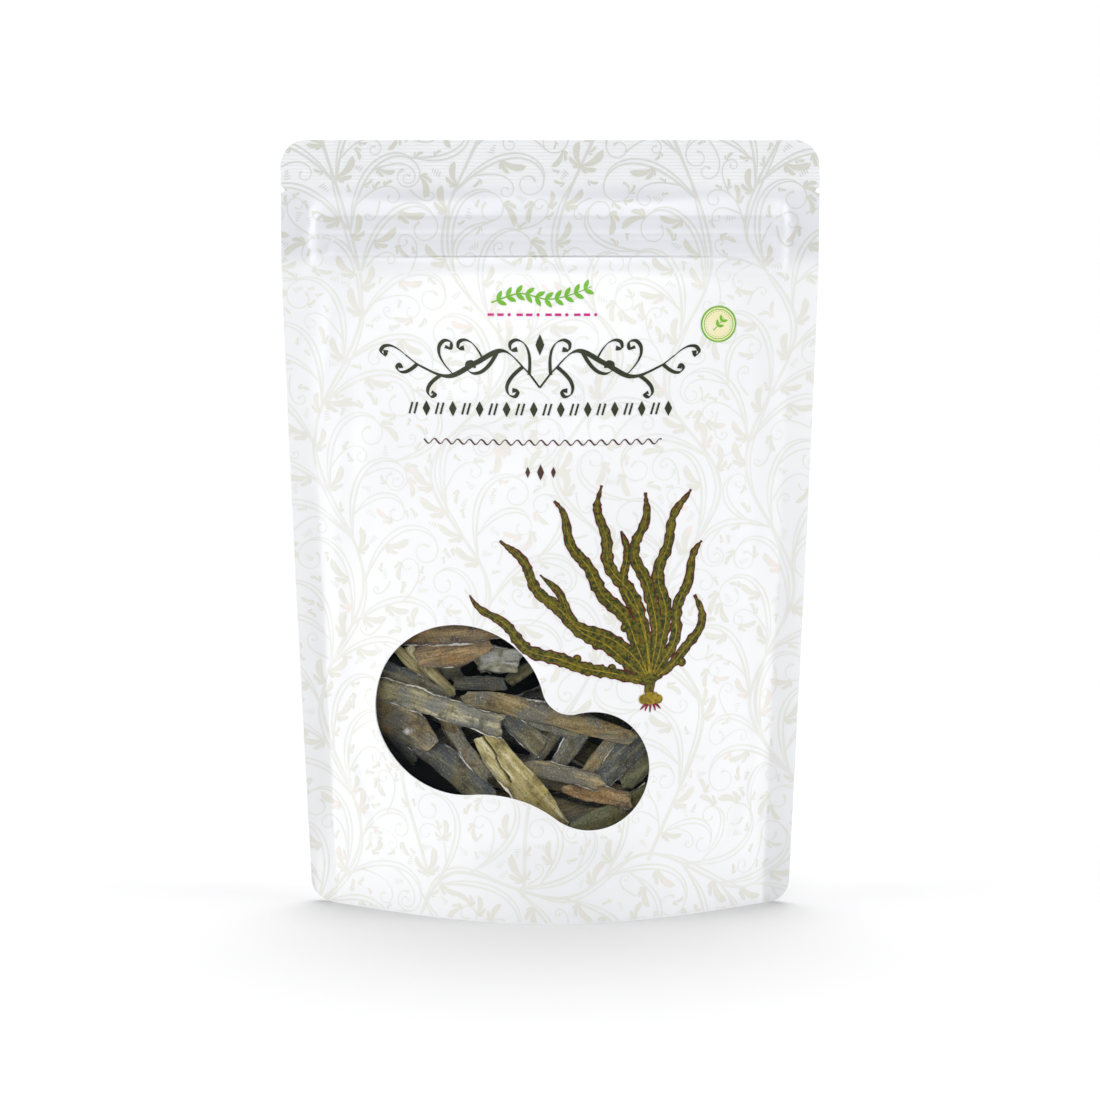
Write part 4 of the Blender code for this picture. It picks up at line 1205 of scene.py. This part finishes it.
# A leaf that finds no room is tried smaller
LEAF_SHARES = (1.1, 0.85, 0.65, 0.5)
COMB_STROKES = 4
COMB_SPACING, COMB_LENGTH, COMB_SHRINK = 0.85, 2.3, 0.4
# Where bare places are looked for, in mm
FILL_ACROSS, FILL_UP = (-84, 84), (-4, 236)
# The shares of all tries up to which a bare place gets a curl, and then a leaf
CURLS_TO, LEAVES_TO = 0.4, 0.7
STEM_LEAF, SCROLL_LEAF = 7.4, 7.2


class Vine:
    """Draws stems and leaves on a wall's free ground."""

    def __init__(self, seed):
        self.ground = Ground()
        self.draw = random.Random(seed)
        self.stems = bmesh.new()
        self.leaves = bmesh.new()

    def stem(self, points, first, last, room=1.1):
        """Draws a stem, from its first width to its last, and takes its ground."""
        pen(self.stems, points, stem_widths(len(points), first, last))
        self.ground.take(points, room)

    def companion(self, points, turn, width):
        """A thinner line that leaves a stem, runs beside it on its outer side and comes back."""
        share = np.linspace(0, 1, len(points))
        angles = headings(points)
        aside = np.stack([np.sin(angles), -np.cos(angles)], axis=1) * turn
        beside = points + aside * (COMPANION_GAP * np.sin(math.pi * share) ** 0.7)[:, None]
        pen(self.stems, beside, width * np.sin(math.pi * share) ** 0.5 + 0.1)
        self.ground.take(beside, 0.6)

    def branch(self, start, heading, turn, sizes):
        """The largest scroll of sizes that finds free ground."""
        for size in sizes:
            for lean in BRANCH_LEANS:
                points, angle = scroll(start, heading + turn * lean, size, turn, self.draw.uniform(0.85, 1.1))
                if self.ground.free(points[max(3, len(points) // 7) :]):
                    self.stem(points, 0.3 + 0.65 * size, 0.28, 0.9)
                    if size > COMPANION_FROM:
                        self.companion(points[2 : len(points) * 2 // 3], turn, 0.5)
                    return points, angle, size
        return None

    def grow(self, points, angles, turn, sizes, every, depth):
        """Throws scrolls from a stem's sides in turn, and smaller ones from theirs. Gives them all."""
        found = []
        for station in range(round(every * 0.6), len(points) - 4, every):
            for side in (turn, -turn):
                grown = self.branch(points[station], angles[station], side, sizes)
                if grown:
                    found.append((*grown, side))
            turn = -turn
        if depth:
            for line_points, line_angles, size, side in list(found):
                smaller = [share * size for share in SMALLER]
                spacing = max(7, round(13 * size))
                found += self.grow(line_points, line_angles, -side, smaller, spacing, depth - 1)
        return found

    def leaf_at(self, start, heading, length, turn, foot, lobes=LOBES):
        """Draws a lobed leaf if its place is free. foot is the share of it that may touch its stem."""
        shapes = [leaf(start, heading + turn * spread, length * share, turn) for share, spread in lobes]
        edges = []
        for shape, widths in shapes:
            step = np.gradient(shape, axis=0)
            aside = np.stack([-step[:, 1], step[:, 0]], axis=1) / np.linalg.norm(step, axis=1)[:, None]
            edges += [shape + aside * widths[:, None] * share for share in (-0.5, 0, 0.5)]
        if all(self.ground.free(edge[round(foot * len(edge)) :]) for edge in edges):
            for shape, widths in shapes:
                pen(self.leaves, shape, widths)
            for edge in edges:
                self.ground.take(edge, 0.3)
            return True
        return False

    def leafy(self, points, angles, every, length):
        """Sets leaves along both sides of a stem, where there is room."""
        for station in range(2, len(points) - 2, every):
            for turn in (1, -1):
                for share in LEAF_SHARES:
                    size = length * share * self.draw.uniform(0.9, 1.1)
                    lobes = LOBES if size > THREE_LOBES_FROM else LOBES[:2]
                    heading = angles[station] + turn * 0.3
                    if self.leaf_at(points[station], heading, size, turn, LEAF_FOOT, lobes):
                        break

    def comb(self, start, heading, turn):
        """A row of short strokes that dwindle, as an engraver shades."""
        along = np.array([math.cos(heading), math.sin(heading)])
        lean = heading + turn * 1.1
        strokes = []
        for number in range(COMB_STROKES):
            reach = np.array([math.cos(lean), math.sin(lean)]) * (COMB_LENGTH - COMB_SHRINK * number)
            foot = np.array(start) + along * COMB_SPACING * number
            strokes.append(foot + np.outer(np.linspace(0, 1, 4), reach))
        if all(self.ground.free(stroke) for stroke in strokes):
            for stroke in strokes:
                pen(self.stems, stroke, np.array([0.12, 0.42, 0.42, 0.12]))
                self.ground.take(stroke, 0.5)

    def fill(self, tries):
        """Fills what is still bare with curls, then leaves, then combs."""
        for number in range(tries):
            start = (self.draw.uniform(*FILL_ACROSS), self.draw.uniform(*FILL_UP))
            heading = self.draw.uniform(0, math.tau)
            turn = self.draw.choice((-1, 1))
            size = self.draw.random()
            if not self.ground.free([start]):
                continue
            if number < tries * CURLS_TO:
                points, angles = scroll(start, heading, 0.2 + 0.26 * size * (1 - number / tries), turn)
                if self.ground.free(points):
                    self.stem(points, 0.65, 0.3)
                    self.leafy(points, angles, 4, SCROLL_LEAF * 0.8)
            elif number < tries * LEAVES_TO:
                self.leaf_at(start, heading, 2.4 + 3.4 * size, turn, 0, LOBES if size > 0.4 else LOBES[:2])
            else:
                self.comb(start, heading, turn)


print("a comb has", COMB_STROKES, "strokes")

# %% Fill a wall with vines
FRONT_STEMS = [
    [(-84, -8), (-62, 22), (-74, 62), (-58, 100), (-72, 142), (-56, 184), (-70, 240)],
    [(-46, -10), (-30, 14), (4, 8), (30, 20), (64, 6), (90, 22)],
    [(84, 34), (64, 62), (77, 98), (60, 136), (74, 176), (58, 206), (72, 240)],
    [(30, 18), (48, 60), (32, 92), (52, 128), (34, 160), (48, 196), (34, 240)],
    [(-38, 12), (-46, 52), (-18, 96), (-36, 134), (-12, 166), (-32, 200), (-18, 240)],
    [(-8, 8), (-4, 44), (22, 100), (2, 134), (20, 168), (2, 200), (16, 240)],
]
BACK_STEMS = [
    [(84, -8), (60, 26), (74, 66), (56, 104), (72, 146), (54, 188), (70, 240)],
    [(-70, -8), (-58, 34), (-74, 74), (-54, 116), (-70, 158), (-56, 198), (-72, 240)],
    [(-34, -8), (-18, 30), (-40, 70), (-14, 108), (-36, 150), (-12, 190), (-30, 240)],
    [(22, -8), (34, 28), (12, 66), (38, 104), (14, 146), (34, 188), (20, 240)],
]
FRONT_TRIES, BACK_TRIES = 12000, 5000
COMPANION_EVERY, COMPANION_STEPS = 42, 34


def vines(stems, seed, tries):
    """Draws long stems, their scrolls and their leaves, and then fills what is left."""
    vine = Vine(seed)
    trunks = [curve(places, SCROLL_SPACING) for places in stems]
    for number, points in enumerate(trunks):
        vine.stem(points, 1.2, 0.8, 0.6)
        for first in range(8 + 5 * number, len(points) - 30, COMPANION_EVERY):
            turn = (-1) ** (first // COMPANION_EVERY + number)
            vine.companion(points[first : first + COMPANION_STEPS], turn, 0.55)
    scrolls = []
    for number, points in enumerate(trunks):
        scrolls += vine.grow(points, headings(points), (-1) ** number, BRANCH_SIZES, 14, 1)
    for points in trunks:
        vine.leafy(points, headings(points), 4, STEM_LEAF)
    for points, angles, size, _ in scrolls:
        vine.leafy(points, angles, 3, SCROLL_LEAF * (0.5 + 0.5 * size))
    vine.fill(tries)
    return vine


front_vines = vines(FRONT_STEMS, 3, FRONT_TRIES)
print("front stems:", len(front_vines.stems.faces), "leaves:", len(front_vines.leaves.faces))
back_vines = vines(BACK_STEMS, 8, BACK_TRIES)

# %% [markdown]
# Each ink is the laminate's own skin with a pigment under it: another colour and a slightly duller gloss. A
# flexo press lays ink a little unevenly, so every ink wanders between two near shades.

# %% Inks
def ink(name, first, second, patch, low=0.4, high=0.6, head=None):
    """A pigment under the satin skin, which wanders between two shades over patches of this size.

    low and high are the noise levels between which the second shade takes over. head is a greyer tone that
    the ink takes above the zip: painted shade, as on the film there.
    """
    made, shader = principled(name, Roughness=0.45, IOR=1.49, Specular_IOR_Level=0.3)
    tree = made.node_tree
    place = add(tree, "TexCoord", {}).outputs["Object"]
    patches = add(tree, "TexNoise", {"Vector": place, "Scale": 1 / patch, "Detail": 3.0, "Roughness": 0.6})
    share = add(tree, "MapRange", {0: patches.outputs["Fac"], 1: low, 2: high}).outputs[0]
    colour = add(tree, "Mix", {0: share, 6: linear(first), 7: linear(second)}, data_type="RGBA").outputs[2]
    # Above the zip the ink turns to its head tone: painted shade
    if head:
        tones = {0: head_shade_share(tree, place), 6: colour, 7: linear(head)}
        colour = add(tree, "Mix", tones, data_type="RGBA").outputs[2]
    tree.links.new(colour, shader.inputs["Base Color"])
    return made


# The last tone of each of these two inks is painted shade above the zip
STEM_INK = ink("pearl_grey_ink", "#ECECEA", "#EAEAE4", 9 * MM, head="#D8D8D5")
LEAF_INK = ink("warm_sand_ink", "#E8E8E0", "#F0E9E4", 12 * MM, 0.57, 0.66, "#D4D4CB")
LEAF_GREEN_INK = ink("leaf_green_ink", "#6FB22C", "#7ABA3A", 4 * MM)
MAGENTA_INK = ink("magenta_ink", "#C2177B", "#C92A86", 4 * MM)
OLIVE_BLACK_INK = ink("olive_black_ink", "#2B3020", "#363A26", 5 * MM)
BROWN_INK = ink("dark_brown_ink", "#4A2E28", "#55382F", 5 * MM)
CREAM_INK = ink("cream_ink", "#EFE9B8", "#F2EBC9", 6 * MM)
SEA_GREEN_INK = ink("sea_green_ink", "#6C6412", "#28330F", 1.1 * MM)
RUST_INK = ink("rust_ink", "#661A13", "#3C100D", 0.9 * MM)
OCHRE_INK = ink("ochre_ink", "#A38C24", "#705C16", 1.0 * MM)
MAROON_INK = ink("maroon_ink", "#96203C", "#641A2C", 0.9 * MM)
printed(front_vines.stems, "front_vine_stems", FRONT, STEM_INK)
printed(front_vines.leaves, "front_vine_leaves", FRONT, LEAF_INK, 1)
printed(back_vines.stems, "back_vine_stems", BACK, STEM_INK)
printed(back_vines.leaves, "back_vine_leaves", BACK, LEAF_INK, 1)

# %% [markdown]
# The front carries a small leafy sprig over a dotted line, a pen flourish, two borders, three diamonds and a
# round seal, all plain ornament. A broad nib draws thin along its edge and thick across it, so a stroke's
# width follows from its heading.

# %% Sprig and dotted line
SPRIG = [(-17.5, 184.0), (-9, 186.6), (-1, 185.0), (6, 186.2), (12.4, 188.6)]
SPRIG_LEAF_STEPS = 8
# Where the dotted line starts, its height, its pitch, and how many marks it has
DOTTED_FROM, DOTTED_HEIGHT, DOTTED_PITCH, DOTTED_MARKS = -18.5, 180.5, 2.85, 12
DASH_LENGTH, DASH_WIDTH, DOT_RADIUS = 1.9, 0.75, 0.5


def nib(points, thin, thick, slant=math.radians(40)):
    """The width of a broad nib's line at each point."""
    return thin + (thick - thin) * np.abs(np.sin(headings(points) - slant))


def sprig(made, places, length, every, width):
    """A stem with pairs of plain leaves."""
    points = curve(places, 0.6)
    angles = headings(points)
    pen(made, points, np.linspace(width, width * 0.5, len(points)))
    share = np.linspace(0, 1, SPRIG_LEAF_STEPS + 1)
    widths = 0.4 * length * np.sin(math.pi * share) ** 0.8 + 0.05
    for station in range(3, len(points), every):
        for turn in (0.75, -0.75):
            angle = angles[station] + turn
            tip = points[station] + length * np.array([math.cos(angle), math.sin(angle)])
            pen(made, line(points[station], tip, SPRIG_LEAF_STEPS), widths, 2)


made = bmesh.new()
sprig(made, SPRIG, 3.2, 5, 0.5)
printed(made, "sprig_print", FRONT, LEAF_GREEN_INK, 2)
made = bmesh.new()
for number in range(DOTTED_MARKS):
    x = DOTTED_FROM + number * DOTTED_PITCH
    if number % 3 == 2:
        disc(made, (x + 0.7, DOTTED_HEIGHT), DOT_RADIUS, 2)
    else:
        pen(made, line((x, DOTTED_HEIGHT), (x + DASH_LENGTH, DOTTED_HEIGHT), 3), [DASH_WIDTH] * 4)
printed(made, "dotted_line_print", FRONT, MAGENTA_INK, 2)

# %% Flourish and borders
FLOURISH = np.array([-3.0, 165.8])
FLOURISH_SWEEP = [(0, -6.5), (4.5, -1), (11, 4.2), (19, 0.6), (27, -3.4), (35, -0.8), (40, 2.6)]
# (start, heading in degrees, size, turn) of each curl in the right half of the flourish
FLOURISH_CURLS = [
    ((3.2, -2.8), 96, 0.36, -1),
    ((5, -0.4), -38, 0.3, -1),
    ((12.5, 4.0), -62, 0.34, 1),
    ((17, 2.0), 62, 0.27, -1),
    ((25.5, -3.0), 44, 0.34, 1),
    ((29.5, -3.2), -34, 0.22, -1),
    ((40, 2.6), 40, 0.24, -1),
    ((36.5, 0.0), -42, 0.2, 1),
]
# Where the broad border starts, its middle height and its pitch, and how many marks it has
BORDER_FROM, BORDER_HEIGHT, BORDER_PITCH, BORDER_MARKS = -40.8, 152.9, 4.0, 20
DIAMOND_HALF, BAR_HALF = 2.2, 1.7
# The fine border's ends, its height, and the height and length of one wave
WAVE_FROM, WAVE_TO, WAVE_HEIGHT, WAVE_RISE, WAVE_LENGTH = -37.8, 33.4, 143.2, 0.75, 3.55
# (x, size) of the three diamonds, and their height
DIAMONDS, DIAMOND_HEIGHT = ((-6.6, 0.7), (-2.8, 1.0), (1.0, 0.7)), 134.5
made = bmesh.new()
for mirror in (1, -1):
    flip = np.array([mirror, 1])
    points = curve(FLOURISH_SWEEP, 0.7)
    pen(made, FLOURISH + points * flip, nib(points, 0.3, 1.6))
    for start, heading, size, turn in FLOURISH_CURLS:
        points, _ = scroll(start, math.radians(heading), size, turn)
        points = curve(points[::2], 0.5)
        widths = nib(points, 0.22, 1.15) + 0.55 * hump(np.linspace(0, 1, len(points)), 1.0, 0.05)
        pen(made, FLOURISH + points * flip, widths)
pen(made, FLOURISH + line((0, 3), (0, 9), 6), [0.1, 1.0, 1.9, 2.6, 1.9, 1.0, 0.1], 2)
low, high = BORDER_HEIGHT - DIAMOND_HALF, BORDER_HEIGHT + DIAMOND_HALF
bar_low, bar_high = BORDER_HEIGHT - BAR_HALF, BORDER_HEIGHT + BAR_HALF
for number in range(BORDER_MARKS):
    x = BORDER_FROM + number * BORDER_PITCH
    if number % 2:
        pen(made, line((x, low), (x, high), 4), [0.1, 1.3, 2.3, 1.3, 0.1], 2)
    else:
        for shift in (-0.75, 0.75):
            pen(made, line((x + shift - 0.5, bar_low), (x + shift + 0.5, bar_high), 3), [0.6] * 4)
printed(made, "flourish_print", FRONT, OLIVE_BLACK_INK, 2)

made = bmesh.new()
x = np.arange(WAVE_FROM, WAVE_TO, 0.35)
points = np.stack([x, WAVE_HEIGHT + WAVE_RISE * np.sin(x * math.tau / WAVE_LENGTH)], axis=1)
pen(made, points, nib(points, 0.22, 0.5))
for x, size in DIAMONDS:
    ends = (x, DIAMOND_HEIGHT - 2.3 * size), (x, DIAMOND_HEIGHT + 2.3 * size)
    pen(made, line(*ends, 4), np.array([0.1, 1.2, 2.1, 1.2, 0.1]) * size, 2)
printed(made, "fine_border_print", FRONT, BROWN_INK, 2)

# %% Round seal
SEAL = np.array([50.3, 177.4])
SEAL_DISC, SEAL_RIM, SEAL_LINE, SEAL_BEADS = 4.9, 5.15, 4.35, 3.75
BEADS, BEAD_RADIUS = 28, 0.15
made = bmesh.new()
disc(made, SEAL, SEAL_DISC, 8)
printed(made, "seal_ground_print", FRONT, CREAM_INK, 2)
made = bmesh.new()
ring(made, SEAL, SEAL_RIM, 0.5)
ring(made, SEAL, SEAL_LINE, 0.22)
for spot in arc(SEAL, SEAL_BEADS, 0, math.tau, BEADS)[:-1]:
    disc(made, spot, BEAD_RADIUS, 1)
sprig(made, [SEAL + (-1.6, -1.8), SEAL + (0, -0.2), SEAL + (1.6, 1.8)], 2.0, 3, 0.3)
printed(made, "seal_print", FRONT, LEAF_GREEN_INK, 3)

# %% [markdown]
# Beside the window stands a sea plant: a fan of long crinkled blades that rise from one stalk, with small air
# bladders at their feet. It is drawn twice, first wide in rust, then narrower in green, which leaves a ragged
# rust outline, and each blade has an ochre midrib.

# %% Sea plant
PLANT_FOOT = (30.5, 71.5)
# (places from the foot to the tip, width) of each blade, in mm, the rear ones first
BLADES = [
    ([(23, 82), (8, 90), (-2, 105)], 2.7),
    ([(40, 79), (46, 86), (45, 97)], 2.4),
    ([(29, 86), (23, 99), (22, 117)], 2.6),
    ([(14, 76), (-5, 82), (-24, 98)], 3.1),
    ([(38, 84), (40, 97), (46.5, 113)], 2.9),
    ([(18, 82), (2, 94), (-14, 115)], 3.3),
    ([(35, 88), (33.5, 107), (41.5, 129)], 3.1),
    ([(23, 90), (12, 104), (1, 126)], 3.3),
    ([(32, 92), (26, 109), (29.5, 128)], 3.2),
    ([(27, 92), (17, 110), (14.5, 130.5)], 3.2),
]
BLADDERS = [
    (18.5, 76.3), (13.8, 83.2), (22.4, 88.2), (35.6, 80.6),
    (38.6, 87.8), (26.3, 83.4), (40.8, 76.8), (8, 79.4),
]
BLADDER, BLADDER_OUTLINE = 1.0, 1.35
BLADE_STEP = 0.7
# The blades sway and crinkle: how far, and the length of one wave, in mm
SWAY, SWAY_LENGTH = 1.2, 19
CRINKLE, CRINKLE_LENGTH = 0.12, 3.9
OUTLINE = 0.75


def blade(places, width):
    """A blade's middle line, which sways, and its crinkled widths."""
    points = curve([PLANT_FOOT, *places], BLADE_STEP)
    share = np.linspace(0, 1, len(points))
    angles = headings(points)
    run = share * len(points) * BLADE_STEP * math.tau
    swing = SWAY * share * np.sin(run / SWAY_LENGTH + places[0][0])
    points = points + np.stack([-np.sin(angles), np.cos(angles)], axis=1) * swing[:, None]
    even = 0.34 + 0.66 * np.sin(math.pi * share**0.75)
    crinkle = 1 + CRINKLE * np.sin(run / CRINKLE_LENGTH + places[0][1])
    return points, width * even * crinkle * smooth((1 - share) / 0.1) + 0.12


def ragged(points, widths, spread):
    """Widths that are wider by spread, unevenly."""
    return widths + spread * (1 + 0.7 * soft_noise(points[:, 0], points[:, 1], 0.9, 41))


leaves, outline, ribs = bmesh.new(), bmesh.new(), bmesh.new()
for places, width in BLADES:
    points, widths = blade(places, width)
    pen(leaves, points, widths, 2)
    pen(outline, points, ragged(points, widths, OUTLINE), 2)
    pen(ribs, points[4:-6], np.linspace(0.42, 0.15, len(points) - 10))
for spot in BLADDERS:
    disc(leaves, spot, BLADDER, 3)
    disc(outline, spot, BLADDER_OUTLINE, 3)
    disc(ribs, (spot[0] - 0.25, spot[1] + 0.3), 0.3, 2)
stalk = curve([(30.6, 66.5), (30.2, 69), PLANT_FOOT, (30.4, 75)], 0.8)
pen(leaves, stalk, np.linspace(2.0, 3.4, len(stalk)), 2)
pen(outline, stalk, np.linspace(2.6, 4.0, len(stalk)), 2)
printed(outline, "sea_plant_outline_print", FRONT, RUST_INK, 2)
printed(leaves, "sea_plant_print", FRONT, SEA_GREEN_INK, 3)
printed(ribs, "sea_plant_rib_print", FRONT, OCHRE_INK, 4)

MOUND = np.array([30.8, 66.4])
# (x, height, radius) of the lumps of the plant's foot, and how far to the side its roots reach
LUMPS = [(-2.3, 0.1, 1.5), (2.4, -0.1, 1.4), (0, 0.2, 1.9), (-0.9, 1.3, 1.1), (1.3, 1.1, 1.0)]
ROOTS = (-3.4, -1.8, -0.2, 1.5, 3.2)
made = bmesh.new()
for x, height, radius in LUMPS:
    disc(made, MOUND + (x, height), radius, 4)
printed(made, "sea_plant_foot_print", FRONT, OCHRE_INK, 5)
made = bmesh.new()
for x in ROOTS:
    points = curve([MOUND + (0.4 * x, -1), MOUND + (0.8 * x, -2.4), MOUND + (x, -4 + 0.3 * abs(x))], 0.5)
    pen(made, points, np.linspace(1.0, 0.25, len(points)))
printed(made, "sea_plant_root_print", FRONT, MAROON_INK, 3)

# %% [markdown]
# The set is a sheet of pale paper in soft daylight: one broad light overhead and a little behind, which
# leaves a soft shadow before the pouch's foot, one low at each side, which models the swelling belly, and a
# weak one in front, which reaches the straps behind the window. The paper is lit until it goes pure white,
# and only the shadow shows where the floor is.

# %% Floor, world and lights
FLOOR_HALF = 14.0
ROOM_STRENGTH = 0.1
SOFT_LIGHTS = [
    # name, strength, spread, tilt to the front, turn to the left, the last three in degrees
    ("overhead_light", 4.2, 64, -14, 0),
    ("left_light", 1.5, 34, 70, 80),
    ("right_light", 1.5, 34, 70, -80),
    ("front_light", 0.8, 34, 64, 14),
]

made = bmesh.new()
bmesh.ops.create_grid(made, x_segments=1, y_segments=1, size=FLOOR_HALF)
mesh = meshed(made, "floor")
paper, _ = principled("white_paper", Base_Color=linear("#C6C6C7"), Roughness=0.9)
mesh.materials.append(paper)
floor = placed("floor", mesh)

world = bpy.data.worlds.new("studio")
bpy.context.scene.world = world
world.use_nodes = True
backdrop = world.node_tree.nodes["Background"]
seen = add(world.node_tree, "LightPath", {}).outputs["Is Camera Ray"]
strength = add(world.node_tree, "MapRange", {0: seen, 3: ROOM_STRENGTH, 4: 1.0})
world.node_tree.links.new(strength.outputs[0], backdrop.inputs["Strength"])
backdrop.inputs["Color"].default_value = (1, 1, 1, 1)

for name, strength, spread, tilt, turn in SOFT_LIGHTS:
    light = bpy.data.lights.new(name, "SUN")
    light.energy = strength
    light.angle = math.radians(spread)
    lamp = placed(name, light)
    lamp.rotation_euler = (math.radians(tilt), 0, -math.radians(turn))
bpy.context.scene.view_settings.view_transform = "Standard"
print("soft lights:", len(SOFT_LIGHTS))
